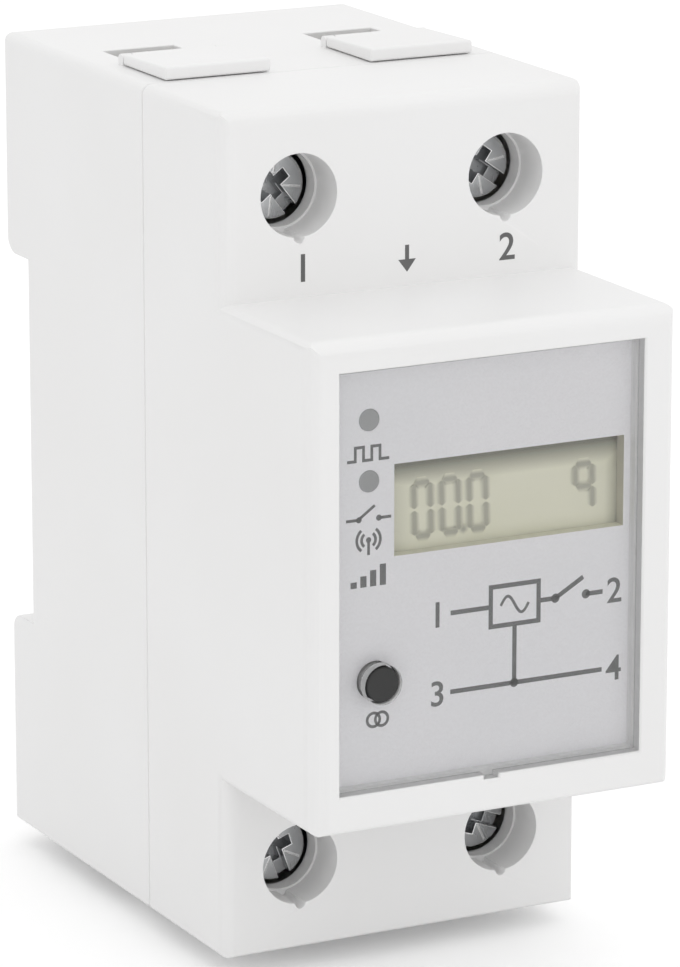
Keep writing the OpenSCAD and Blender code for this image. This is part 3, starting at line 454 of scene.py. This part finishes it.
lcd_glass, tree, shader = new_material("lcd_glass")
film = use_group(tree, drawn, Line_Scale=1500, Stain_Scale=90)
ramp = tint(tree, film.outputs["Stain"], *LCD_TONES, shader)
shade = use_group(tree, painted_edge_shade)
# Near the edges of its opening, the display's tone is darkened towards LCD_SHADE: painted shade.
dim = add(tree, "ShaderNodeMix", data_type="RGBA")
dim.inputs[MIX_SECOND].default_value = LCD_SHADE
tree.links.new(shade.outputs["Shade"], dim.inputs[MIX_FACTOR])
tree.links.new(ramp.outputs["Color"], dim.inputs[MIX_FIRST])
tree.links.new(dim.outputs[MIX_RESULT], shader.inputs["Base Color"])
spread(tree, film.outputs["Lines"], 0.28, 0.36, shader)
print("display", lcd_glass.name)

# %% [markdown]
# Screws are cold-headed steel with bright zinc, so they mirror the white studio in broken patches.
# Busbars are drawn copper strip, the cages are yellow-passivated steel, and the spring is drawn wire.

# %% Metals
LINE_STRENGTH, LINE_DEPTH = 0.25, 0.004
LINE_GLOSS = 0.07


def metal(name, low, high, rough, line_scale=900):
    """Bare or plated metal with drawn lines in its gloss and slow stains in its colour."""
    material, tree, shader = new_material(name, Metallic=1.0)
    skin = use_group(tree, drawn, Line_Scale=line_scale)
    tint(tree, skin.outputs["Stain"], low, high, shader)
    spread(tree, skin.outputs["Lines"], rough - LINE_GLOSS, rough + LINE_GLOSS, shader)
    bump(tree, skin.outputs["Lines"], shader, LINE_STRENGTH, LINE_DEPTH)
    return material


screw_zinc = metal("screw_zinc", grey(0.38, -0.02), grey(0.54, -0.015), 0.3)
# A much brighter metal for the sloping faces of the screw heads: a painted highlight.
painted_highlight_metal = metal("painted_highlight_metal", grey(0.86), grey(0.95), 0.25)
copper = metal("copper", (0.62, 0.30, 0.17), (0.76, 0.42, 0.27), 0.32)
manganin = metal("manganin", (0.42, 0.30, 0.2), (0.52, 0.38, 0.26), 0.38)
cage_steel = metal("cage_steel", (0.52, 0.46, 0.30), (0.66, 0.6, 0.42), 0.33)
spring_steel = metal("spring_steel", grey(0.38, -0.02), grey(0.5, -0.02), 0.28, line_scale=2500)
print(len(bpy.data.materials), "finishes")

# %% [markdown]
# ## Floor and light
#
# The photograph is a cut-out on white under very even light. A pale world lights every face, from the
# right a little more than from the left, and the pale floor throws it back under the nose. One broad
# lamp above keeps the top a little brighter than the sides. For the camera, in reflections and through
# clear pieces the world is plain white, and the floor glows a little so that it looks as white.

# %% World
LEFT_LIGHT, RIGHT_LIGHT = 0.9, 1.08

world = bpy.data.worlds.new("studio")
bpy.context.scene.world = world
world.use_nodes = True
tree = world.node_tree
path = add(tree, "ShaderNodeLightPath").outputs
seen = strongest(tree, path["Is Camera Ray"], path["Is Glossy Ray"], path["Is Transmission Ray"])
level = add(tree, "ShaderNodeMapRange")
ray = add(tree, "ShaderNodeTexCoord")
axes = add(tree, "ShaderNodeSeparateXYZ")
slope = add(tree, "ShaderNodeMapRange")
slope.inputs["From Min"].default_value = -1
slope.inputs["To Min"].default_value = LEFT_LIGHT
slope.inputs["To Max"].default_value = RIGHT_LIGHT
tree.links.new(ray.outputs["Generated"], axes.inputs["Vector"])
tree.links.new(axes.outputs["X"], slope.inputs["Value"])
tree.links.new(slope.outputs["Result"], level.inputs["To Min"])
tree.links.new(seen, level.inputs["Value"])
tree.links.new(level.outputs["Result"], tree.nodes["Background"].inputs["Strength"])
tree.nodes["Background"].inputs["Color"].default_value = (1, 1, 1, 1)
print("world light from", LEFT_LIGHT, "to", RIGHT_LIGHT)

# %% Lamp
LAMP_PLACE = Vector((-0.1, -0.45, 0.75))
LAMP_W, LAMP_H = 0.9, 0.7
LAMP_POWER = 0.45

lamp_data = bpy.data.lights.new("softbox", "AREA")
lamp_data.shape = "RECTANGLE"
lamp_data.size, lamp_data.size_y = LAMP_W, LAMP_H
lamp_data.energy = LAMP_POWER
lamp = bpy.data.objects.new("softbox", lamp_data)
bpy.context.scene.collection.objects.link(lamp)
lamp.location = LAMP_PLACE
lamp.rotation_mode = "QUATERNION"
lamp.rotation_quaternion = (CAMERA_AIM - LAMP_PLACE).to_track_quat("-Z", "Y")
print("lamp of", LAMP_POWER, "W")

# %% Floor
FLOOR_GAP = 0.1
FLOOR_SIZE = 6
FLOOR_GLOW = 0.2

floor_z = cad_box[0].z - FLOOR_GAP * MM
bpy.ops.object.select_all(action="DESELECT")
bpy.ops.mesh.primitive_plane_add(size=FLOOR_SIZE, location=(0, 0, floor_z))
floor = bpy.context.object
floor.name = "floor"
floor_pale, tree, shader = new_material("floor_pale", Roughness=0.9)
tone = use_group(tree, moulded, Drift_Scale=3)
tint(tree, tone.outputs["Drift"], grey(0.87), grey(0.89), shader)
path = add(tree, "ShaderNodeLightPath").outputs
glow = add(tree, "ShaderNodeEmission")
both = add(tree, "ShaderNodeAddShader")
level = add(tree, "ShaderNodeMath", operation="MULTIPLY")
level.inputs[1].default_value = FLOOR_GLOW
tree.links.new(strongest(tree, path["Is Camera Ray"], path["Is Glossy Ray"]), level.inputs[0])
tree.links.new(level.outputs["Value"], glow.inputs["Strength"])
tree.links.new(shader.outputs["BSDF"], both.inputs[0])
tree.links.new(glow.outputs["Emission"], both.inputs[1])
tree.links.new(both.outputs["Shader"], tree.nodes["Material Output"].inputs["Surface"])
floor.data.materials.append(floor_pale)
print("floor at", round(floor_z / MM, 2), "mm")

# %% [markdown]
# ## The case
#
# A mould can't make a knife-sharp edge, so the rims of the screw holes, the window frame and the two
# edges of the seam catch a thin bright line. The CAD shells have the right form. Each is copied, and
# only the edges that the photograph shows broken are bevelled. They are chosen by their place. A face
# with holes is joined to them by thin bridges, which a bevel can tear, so the terminal faces, the roof
# and the floor are filled anew after it.

# %% Front cover
FACE = -41.7
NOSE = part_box("front_cover")[0].y / MM
COVER_EDGE = -25.78
SIDE = 18.0
ROOF = 38.8
NEAR = 0.02
FLUSH = 0.9999
SIDE_WALL, ROOF_WALL = 1.2, 1.5
RIM_BREAK, FRAME_BREAK, SEAM_BREAK = 0.1, 0.18, 0.14
TO_FRONT, UP, DOWN = Vector((0, -1, 0)), Vector((0, 0, 1)), Vector((0, 0, -1))


def at(a, b, axis, value):
    """Whether both ends of an edge lie at a value on an axis."""
    return abs(a[axis] - value) < NEAR and abs(b[axis] - value) < NEAR


def pick_flat(piece, way, height):
    """Picks the flat faces that look one way at a height, in edit mode."""
    edit(piece)
    bpy.ops.mesh.select_mode(type="FACE")
    bpy.ops.mesh.select_all(action="DESELECT")
    mesh = bmesh.from_edit_mesh(piece.data)
    for face in mesh.faces:
        level = abs(face.calc_center_median().dot(way) / MM - height) < NEAR
        face.select_set(level and face.normal.dot(way) > FLUSH)
    bmesh.update_edit_mesh(piece.data)


def refilled(piece, way, height):
    """Lays the flat faces at a height anew, between their outlines and their holes."""
    pick_flat(piece, way, height)
    bpy.ops.mesh.delete(type="FACE")
    bpy.ops.mesh.select_mode(type="EDGE")
    bpy.ops.mesh.select_non_manifold(extend=False)
    bpy.ops.mesh.fill(use_beauty=True)
    mesh = bmesh.from_edit_mesh(piece.data)
    laid = [face for face in mesh.faces if face.select]
    if sum(face.normal.dot(way) for face in laid) < 0:
        bpy.ops.mesh.flip_normals()
    done()
    return len(laid)


def outer(a):
    """Whether a point lies in the outer part of the case's wall."""
    return abs(a.x) > SIDE - SIDE_WALL or abs(a.z) > ROOF - ROOF_WALL


cover = welded_copy("front_cover", "cover_shell")
rims = round_edges(cover, lambda a, b: at(a, b, 1, FACE), RIM_BREAK)
laid = refilled(cover, TO_FRONT, -FACE)
frame_edges = round_edges(cover, lambda a, b: at(a, b, 1, NOSE), FRAME_BREAK)
seam = round_edges(cover, lambda a, b: at(a, b, 1, COVER_EDGE) and outer(a) and outer(b), SEAM_BREAK)
smooth(cover)
settle(cover, "case", case_white, ["front_cover"])
print(rims, "rim edges,", laid, "face triangles,", frame_edges, "frame edges and", seam, "seam edges")

# %% [markdown]
# The two halves meet at a rim. On the rear half a low tongue stands up inside the seam, so that no
# light falls through. It could be a ring of its own, but the rim is there already: its flat faces,
# which the bevel has drawn in a little, are extruded until they almost touch the cover.

# %% Rear housing
BASE_EDGE = -25.62
BASE_BREAK = 0.12
TONGUE = 0.14
RAIL_FACE, RAIL_HALF = -0.05, 25


def base_edges(a, b):
    outline = at(a, b, 1, BASE_EDGE) and outer(a) and outer(b)
    roof = at(a, b, 2, ROOF) or at(a, b, 2, -ROOF)
    rail = all(end.y > RAIL_FACE and abs(end.z) < RAIL_HALF for end in (a, b))
    return outline or roof or rail


base = welded_copy("rear_housing", "base_shell")
broken = round_edges(base, base_edges, BASE_BREAK)
laid = refilled(base, UP, ROOF) + refilled(base, DOWN, ROOF)
pick_flat(base, TO_FRONT, -BASE_EDGE)
bpy.ops.mesh.extrude_region_move(TRANSFORM_OT_translate={"value": (0, -TONGUE * MM, 0)})
done()
smooth(base)
settle(base, "case", case_white, ["rear_housing"])
print(broken, "edges broken,", laid, "roof and floor triangles")

# %% [markdown]
# ## Flaps and latch
#
# The flaps on the roof and the latch under the rail are small mouldings of the same white plastic. A
# flap's plate has soft edges, but its hinge stays as it is, because its pins turn in the cheeks. So a
# flap's edges are chosen by their distance from the hinge, and the latch's are all rounded alike.

# %% Flaps and latch
CORNERS = ("neutral_in", "line_in", "neutral_out", "line_out")
HINGE = -16.195
HINGE_KEEP = 0.55
PLATE_BREAK, LATCH_BREAK = 0.22, 0.15


def plate_edges(a, b):
    return a.y < HINGE - HINGE_KEEP and b.y < HINGE - HINGE_KEEP


for corner in CORNERS:
    flap = welded_copy(corner + "_flap", corner + "_flap_plate")
    round_edges(flap, plate_edges, PLATE_BREAK, segments=3)
    smooth(flap)
    settle(flap, corner + "_flap", case_white, [corner + "_flap"])

latch = welded_copy("rail_latch", "latch_slide")
round_edges(latch, every_edge, LATCH_BREAK)
smooth(latch)
settle(latch, "latch", case_white, ["rail_latch"])

# %% [markdown]
# ## Terminal screws
#
# A terminal screw has a head that takes a blade or a cross bit. The edges of its recess are rounded by
# the punch, and short lines between the arms of the cross mark the kind of cross. The lines are cut
# with thin wedges by a Boolean modifier, so they catch light as real ones do. Struck grooves and broken
# edges glint, and that glint is painted: the sloping faces of the head get a much brighter metal.

# %% Screws
TICK_FROM, TICK_TO = 1.05, 2.85
TICK_W, TICK_D = 0.24, 0.12
HEAD_BREAK = 0.08
HIGHLIGHT_DEPTH = 0.2
STEEPEST, FLATTEST = -0.25, -0.95
SLOT_ANGLE = {"neutral_in": 52, "line_in": 35, "neutral_out": 70, "line_out": 20}


def tick_cutter(centre, face, angles):
    """Thin wedges across the head's face, joined in one object."""
    bars = []
    for angle in angles:
        bpy.ops.object.select_all(action="DESELECT")
        bpy.ops.mesh.primitive_cube_add(size=1)
        bar = bpy.context.object
        middle = (TICK_FROM + TICK_TO) / 2
        on_edge = Matrix.Rotation(radians(45), 4, "X") @ Matrix.Diagonal((1, 0.5 ** 0.5, 0.5 ** 0.5, 1))
        stretch = Matrix.Diagonal((TICK_TO - TICK_FROM, 2 * TICK_D, TICK_W, 1)) @ on_edge
        out = Matrix.Translation((middle, 0, 0))
        turn = Matrix.Rotation(radians(angle), 4, "Y")
        place = Matrix.Scale(MM, 4) @ Matrix.Translation((centre.x, face, centre.z))
        bar.data.transform(place @ turn @ out @ stretch)
        bars.append(bar)
    return joined(bars, "ticks")


for corner in CORNERS:
    low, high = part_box(corner + "_screw")
    centre, face = (low + high) / 2 / MM, low.y / MM
    screw = welded_copy(corner + "_screw", corner + "_screw_turned")
    round_edges(screw, every_edge, HEAD_BREAK)
    ticks = tick_cutter(centre, face, [SLOT_ANGLE[corner] + 45 + quarter for quarter in (0, 90, 180, 270)])
    cut = screw.modifiers.new("ticks", "BOOLEAN")
    cut.operation = "DIFFERENCE"
    cut.solver = "EXACT"
    cut.object = ticks
    only(screw)
    bpy.ops.object.modifier_apply(modifier=cut.name)
    bpy.data.objects.remove(ticks)
    smooth(screw)
    settle(screw, corner + "_screw", screw_zinc, [corner + "_screw"])
    screw.data.materials.append(painted_highlight_metal)
    # Sloping faces near the head's face get the bright metal, as a painted highlight.
    for facet in screw.data.polygons:
        if FLATTEST < facet.normal.y < STEEPEST and facet.center.y / MM < face + HIGHLIGHT_DEPTH:
            facet.material_index = 1

# %% [markdown]
# ## Window, label and button
#
# The clear pane is pressed into its frame, so hardly any gap shows round it. A copy of the CAD pane is
# drawn out to the frame and keeps a hair's breadth behind its back face. The label is a printed sheet
# with a window cut in it. The cut edge at the right lies in shade, and that shade is painted: the edge
# gets a darker colour than the front. The sill below takes the colour of the display. The button is a
# black cap on a grey stem.

# %% Pane
PANE_GROW = 0.08
PANE_BACK = 0.01
PANE_BOTTOM = -18.8
PANE_BREAK = 0.04
EDGE_ON = 0.2

pane = welded_copy("clear_window", "window_pane")
low, high = [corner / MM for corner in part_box("clear_window")]
for v in pane.data.vertices:
    place = v.co / MM
    if abs(place.x - low.x) < NEAR:
        v.co.x -= PANE_GROW * MM
    if abs(place.x - high.x) < NEAR:
        v.co.x += PANE_GROW * MM
    if abs(place.z - high.z) < NEAR:
        v.co.z += PANE_GROW * MM
    if place.z < PANE_BOTTOM + NEAR:
        v.co.z -= PANE_GROW * MM
    if abs(place.y - high.y) < NEAR:
        v.co.y -= PANE_BACK * MM
round_edges(pane, every_edge, PANE_BREAK)
smooth(pane)
settle(pane, "case", clear_pane, ["clear_window"])
pane.data.materials.append(pane_edge)
for face in pane.data.polygons:
    if abs(face.normal.y) < EDGE_ON:
        face.material_index = 1

# %% Label
SQUARE_ON = 0.9

label = welded_copy("label_plate", "label_sheet")
smooth(label)
settle(label, "case", label_silver, ["label_plate"])
label.data.materials.append(painted_shade_wall)
label.data.materials.append(aperture_sill)
# The right cut edge gets the colour of painted shade, and the sill gets the colour of the display.
for face in label.data.polygons:
    if abs(face.center.x / MM - APERTURE_RIGHT) < NEAR and face.normal.x < -SQUARE_ON:
        face.material_index = 1
    if abs(face.center.z / MM - APERTURE_BOTTOM) < NEAR and face.normal.z > SQUARE_ON:
        face.material_index = 2
print(sum(face.material_index > 0 for face in label.data.polygons), "cut edges")

# %% Button
CAP = 1.5
CAP_BREAK = 0.2

button = welded_copy("pair_button", "button_plunger")
round_edges(button, every_edge, CAP_BREAK, segments=3)
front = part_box("pair_button")[0].y
edit(button)
bpy.ops.mesh.bisect(plane_co=(0, front + CAP * MM, 0), plane_no=(0, 1, 0))
done()
smooth(button)
settle(button, "button", button_black, ["pair_button"])
button.data.materials.append(button_stem)
for face in button.data.polygons:
    if face.center.y > front + CAP * MM:
        face.material_index = 1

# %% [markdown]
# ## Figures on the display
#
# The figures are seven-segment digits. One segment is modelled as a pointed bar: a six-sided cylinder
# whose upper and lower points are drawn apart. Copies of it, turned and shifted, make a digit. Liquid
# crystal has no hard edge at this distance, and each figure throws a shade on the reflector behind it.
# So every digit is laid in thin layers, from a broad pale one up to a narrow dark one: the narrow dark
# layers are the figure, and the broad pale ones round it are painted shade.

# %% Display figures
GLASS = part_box("lcd_panel")[0].y / MM
SEGMENT_GAP = 0.08
LEAN = 0.03
SEGMENTS = {
    "top": (0, 1, 0), "middle": (0, 0, 0), "bottom": (0, -1, 0),
    "upper_left": (-1, 0.5, 1), "upper_right": (1, 0.5, 1),
    "lower_left": (-1, -0.5, 1), "lower_right": (1, -0.5, 1),
}
ZERO = ("top", "bottom", "upper_left", "upper_right", "lower_left", "lower_right")
HOOK = ("top", "middle", "upper_left", "upper_right", "lower_right")
# A digit has its centre, across and up, its width and height, and the segments that are lit.
FIRST_DIGIT, DIGIT_PITCH = -5.56, 2.74
DIGITS = [(FIRST_DIGIT + DIGIT_PITCH * k, 5.18, 1.62, 4.8, ZERO) for k in range(3)]
DIGITS.append((10.59, 5.32, 1.7, 4.1, HOOK))
POINT = (-1.5, 2.87)
POINT_TALL = 1.01
# A layer has the width of its segments and its tone, as a share of the display's.
LAYERS = ((1.05, 0.94), (0.86, 0.85), (0.68, 0.74), (0.5, 0.62), (0.34, 0.52))
LAYER_STEP = 0.012
LAYER_T = 0.006


def segment(length, width):
    """An upright pointed bar about the origin, lying in the X-Z plane."""
    bpy.ops.object.select_all(action="DESELECT")
    bpy.ops.mesh.primitive_cylinder_add(vertices=6, radius=width / 2 / cos(pi / 6), depth=LAYER_T)
    bar = bpy.context.object
    bar.data.transform(Matrix.Rotation(radians(90), 4, "X"))
    half = max(v.co.z for v in bar.data.vertices)
    draw = length / 2 - half
    for v in bar.data.vertices:
        v.co.z += draw if v.co.z > 0 else -draw
    return bar


def digit(x, z, across, tall, lit, width):
    """A digit about a point, from the segments that are lit, leaning a little."""
    bars = []
    for title in lit:
        side, up, upright = SEGMENTS[title]
        bar = segment((tall / 2 if upright else across) - 2 * SEGMENT_GAP, width)
        if not upright:
            bar.data.transform(Matrix.Rotation(radians(90), 4, "Y"))
        bar.data.transform(Matrix.Translation((side * across / 2, 0, up * tall / 2)))
        bars.append(bar)
    made = joined(bars, "digit")
    for v in made.data.vertices:
        v.co.x -= LEAN * v.co.z
    made.data.transform(Matrix.Translation((x, 0, z)))
    return made


for k, (width, tone) in enumerate(LAYERS):
    figures = [digit(*values, width) for values in DIGITS]
    point = segment(width * POINT_TALL, width)
    point.data.transform(Matrix.Translation((POINT[0], 0, POINT[1])))
    layer = joined(figures + [point], f"display_figures_{k}")
    lift = Matrix.Translation((0, GLASS - (k + 1) * LAYER_STEP, 0))
    layer.data.transform(Matrix.Scale(MM, 4) @ lift)
    low, high = [tuple(channel * tone for channel in colour) for colour in LCD_TONES]
    settle(layer, "case", plastic(f"segment_{k}", low, high, 0.5))

# %% [markdown]
# ## Print
#
# A meter's label and terminal faces carry print in one dark ink. Here it is generic: plain numbers at
# the terminals, a wiring diagram, and small signs for a pulse, an open switch, an aerial, its strength
# and a link. Each mark is drawn as closed outlines in the plane, filled as a flat curve, thickened to a
# coat of ink and made a mesh.

# %% Strokes, numbers and ink
INK = 0.012
INK_WELD = 0.011
FIGURE_WEIGHT = 0.01
# A closed outline needs no last point on its first, so a whole turn stops one step of 15 degrees short.
WHOLE_TURN = (0, 345, 23)


def stroke(path, width, closed=False):
    """The outlines of a line of even width along a path."""
    points = [Vector(p) for p in path]
    sides = []
    for k, p in enumerate(points):
        into = points[k] - points[k - 1] if closed or k else points[1] - points[0]
        out = points[(k + 1) % len(points)] - p if closed or k < len(points) - 1 else into
        into, out = into.normalized(), out.normalized()
        square = Vector((-into.y, into.x))
        across = Vector((-into.y - out.y, into.x + out.x)).normalized()
        across *= width / 2 / across.dot(square)
        sides.append((p + across, p - across))
    left, right = [side[0] for side in sides], [side[1] for side in sides]
    return [left, right] if closed else [left + right[::-1]]


def arc(x, z, r, start, stop, steps=24):
    angles = [radians(start + (stop - start) * k / steps) for k in range(steps + 1)]
    return [(x + r * cos(angle), z + r * sin(angle)) for angle in angles]


def disc(x, z, r):
    return [arc(x, z, r, *WHOLE_TURN)]


def ring(x, z, r, width):
    return stroke(arc(x, z, r, *WHOLE_TURN), width, closed=True)


def inked(outlines):
    """One flat filled curve with the depth of the ink, made a mesh."""
    curve = bpy.data.curves.new("ink", "CURVE")
    curve.dimensions = "2D"
    curve.fill_mode = "BOTH"
    curve.extrude = INK
    for outline in outlines:
        line = curve.splines.new("POLY")
        line.points.add(len(outline) - 1)
        for point, place in zip(line.points, outline):
            point.co = (place[0], place[1], 0, 1)
        line.use_cyclic_u = True
    mark = bpy.data.objects.new("ink", curve)
    bpy.context.scene.collection.objects.link(mark)
    only(mark)
    bpy.ops.object.convert(target="MESH")
    return bpy.context.object


def number(text, x, z, height):
    """A plain number of a given height about a point."""
    bpy.ops.object.select_all(action="DESELECT")
    bpy.ops.object.text_add()
    letter = bpy.context.object
    letter.data.body = text
    letter.data.size = height
    letter.data.offset = FIGURE_WEIGHT * height
    letter.data.extrude = INK
    bpy.ops.object.convert(target="MESH")
    letter = bpy.context.object
    wide = [v.co.x for v in letter.data.vertices]
    tall = [v.co.y for v in letter.data.vertices]
    fit = height / (max(tall) - min(tall))
    centre = Matrix.Translation((-(min(wide) + max(wide)) / 2, -(min(tall) + max(tall)) / 2, 0))
    letter.data.transform(Matrix.Translation((x, z, 0)) @ Matrix.Diagonal((fit, fit, 1, 1)) @ centre)
    return letter


def printed(name, marks, face):
    """Lays marks on a plane that faces the front."""
    piece = joined(marks, name)
    edit(piece)
    bpy.ops.mesh.remove_doubles(threshold=INK_WELD)
    bpy.ops.mesh.normals_make_consistent(inside=False)
    done()
    upright = Matrix.Rotation(radians(90), 4, "X")
    piece.data.transform(Matrix.Scale(MM, 4) @ Matrix.Translation((0, face, 0)) @ upright)
    settle(piece, "case", print_grey)


print("ink", 2 * INK, "mm thick")

# %% Signs on the label
FINE = 0.26
PULSE_LEFT, PULSE_LOW, PULSE_HIGH = -13.6, 10.55, 11.75
SWITCH, CONTACT_R = 5.3, 0.27
AERIAL_X, AERIAL_Z = -11.5, 3.42
AERIAL_R, AERIAL_HALF = (0.68, 1.15), 52
BAR_LEFT, BAR_STEP, BAR_W = -12.95, 0.95, 0.6
BAR_FOOT, BAR_TOP, BAR_RISE = -0.78, -0.23, 0.45
LINK, LINK_R = -12.9, 0.62

pulse = [(PULSE_LEFT + step, PULSE_HIGH if high else PULSE_LOW) for step, high in (
    (0, 0), (0.8, 0), (0.8, 1), (1.6, 1), (1.6, 0), (2.4, 0), (2.4, 1), (3.2, 1), (3.2, 0), (4.1, 0))]
signs = [
    stroke(pulse, FINE),
    stroke([(-13.7, SWITCH), (-12.5, SWITCH)], FINE),
    stroke([(-12.4, SWITCH + 0.1), (-10.9, SWITCH + 1.15)], FINE),
    stroke([(-10.4, SWITCH), (-9.3, SWITCH)], FINE),
    disc(-12.45, SWITCH, CONTACT_R),
    disc(-10.5, SWITCH, CONTACT_R),
    disc(AERIAL_X, AERIAL_Z, 0.25),
    stroke([(AERIAL_X, AERIAL_Z - 0.2), (AERIAL_X, AERIAL_Z - 1.35)], FINE),
]
for r in AERIAL_R:
    for side in (0, 180):
        signs.append(stroke(arc(AERIAL_X, AERIAL_Z, r, side - AERIAL_HALF, side + AERIAL_HALF), FINE))
for k in range(4):
    x = BAR_LEFT + BAR_STEP * k
    signs.append(stroke([(x, BAR_FOOT), (x, BAR_TOP + BAR_RISE * k)], BAR_W))
signs += [ring(x, LINK, LINK_R, FINE) for x in (-11.0, -10.2)]
print(len(signs), "strokes and dots in the signs")

# %% Wiring diagram on the label
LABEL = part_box("label_plate")[0].y / MM
BOLD = 0.42
ROW, ROW_2 = -4.2, -11.4
METER = [(0.6, -6), (0.6, -2.4), (5.4, -2.4), (5.4, -6)]
WAVE_LEFT, WAVE_W, WAVE_H, WAVE_STEPS = 1.6, 2.8, 0.8, 24
JOINT_R = 0.42
NUMBER_H, NUMBER_LEFT, NUMBER_RIGHT = 2.3, -4.7, 13.1

wave = []
for k in range(WAVE_STEPS + 1):
    wave.append((WAVE_LEFT + WAVE_W * k / WAVE_STEPS, ROW + WAVE_H * sin(2 * pi * k / WAVE_STEPS)))
signs += [
    stroke([(-3.4, ROW), (0.4, ROW)], BOLD),
    stroke(METER, BOLD, closed=True),
    stroke([(5.6, ROW), (7.0, ROW)], BOLD),
    disc(7.1, ROW, JOINT_R),
    stroke([(7.1, ROW), (9.9, ROW + 1.6)], BOLD),
    disc(10.2, ROW, JOINT_R),
    stroke([(10.2, ROW), (11.9, ROW)], BOLD),
    stroke([(3, -6.2), (3, ROW_2)], BOLD),
    disc(3, ROW_2, JOINT_R),
    stroke([(-3.4, ROW_2), (11.9, ROW_2)], BOLD),
    stroke(wave, FINE),
]
marks = [inked(outlines) for outlines in signs]
for k, row in enumerate((ROW, ROW_2)):
    marks.append(number(str(2 * k + 1), NUMBER_LEFT, row, NUMBER_H))
    marks.append(number(str(2 * k + 2), NUMBER_RIGHT, row, NUMBER_H))
printed("label_print", marks, LABEL)

# %% Marks at the terminals
TERMINAL_H = 2.5
ARROW_X, ARROW_W, ARROW_HALF = 0.38, 0.4, 0.88
ARROW_TOP, ARROW_NECK, ARROW_TIP = 25.4, 24.1, 22.95

marks = [number("1", -9.99, 24.32, TERMINAL_H), number("2", 10.53, 24.3, TERMINAL_H)]
marks.append(inked(stroke([(ARROW_X, ARROW_TOP), (ARROW_X, ARROW_NECK)], ARROW_W)))
barbs = [(ARROW_X + half, ARROW_NECK) for half in (-ARROW_HALF, ARROW_HALF)]
marks.append(inked([[barbs[0], (ARROW_X, ARROW_TIP), barbs[1]]]))
printed("terminal_print", marks, FACE)

# %% [markdown]
# ## The spring
#
# The latch is pushed home by a wound spring of round wire. The CAD spring is a coarse sweep. Here a
# circle of wire is turned round the axis by a Screw modifier, in many more steps, with the same turns.

# %% Latch spring
TURNS, TURN_STEPS = 4, 40
WIRE_R, WIRE_SIDES, COIL_R = 0.2, 14, 1.05
COIL_SMOOTH = radians(40)
low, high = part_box("latch_spring")
spring_axis = (low + high) / 2

bpy.ops.object.select_all(action="DESELECT")
bpy.ops.mesh.primitive_circle_add(vertices=WIRE_SIDES, radius=WIRE_R * MM)
spring = bpy.context.object
spring.name = "wound_spring"
spring.data.transform(Matrix.Rotation(radians(90), 4, "X"))
spring.data.transform(Matrix.Translation((COIL_R * MM, 0, 0)))
wind = spring.modifiers.new("wind", "SCREW")
wind.axis = "Z"
wind.angle = 2 * pi * TURNS
wind.steps = wind.render_steps = TURN_STEPS * TURNS
wind.screw_offset = high.z - low.z - 2 * WIRE_R * MM
only(spring)
bpy.ops.object.modifier_apply(modifier=wind.name)
edit(spring)
bpy.ops.mesh.remove_doubles(threshold=WELD / 10)
bpy.ops.mesh.select_all(action="DESELECT")
bpy.ops.mesh.select_non_manifold()
bpy.ops.mesh.edge_face_add()
bpy.ops.mesh.select_all(action="SELECT")
bpy.ops.mesh.normals_make_consistent(inside=False)
done()
spring.data.transform(Matrix.Translation((spring_axis.x, spring_axis.y, low.z + WIRE_R * MM)))
only(spring)
bpy.ops.object.shade_smooth_by_angle(angle=COIL_SMOOTH)
settle(spring, "case", spring_steel, ["latch_spring"])
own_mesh(spring)

# %% [markdown]
# ## Pieces that keep their CAD form
#
# The boards, their parts, the busbars and the cages sit inside the case. Their CAD form is right, so
# they only get their finish.

# %% Inner pieces
FINISH = {
    "indicator_grey": indicator_grey, "lcd_glass": lcd_glass, "case_white": case_white, "copper": copper,
    "contact_rubber": contact_rubber, "board_green": board_green, "screw_zinc": screw_zinc,
    "lamp_clear": lamp_clear, "component_black": component_black, "film_yellow": film_yellow,
    "disc_blue": disc_blue, "manganin": manganin, "cage_steel": cage_steel,
}
slot_of = {part["node"]: part["material_slot"] for part in frame["record"]["subparts"]}
for name, node in nodes.items():
    if not node.hide_render:
        node.data.materials.clear()
        node.data.materials.append(FINISH[slot_of[name]])
print(sum(not node.hide_render for node in nodes.values()), "CAD nodes keep their form")
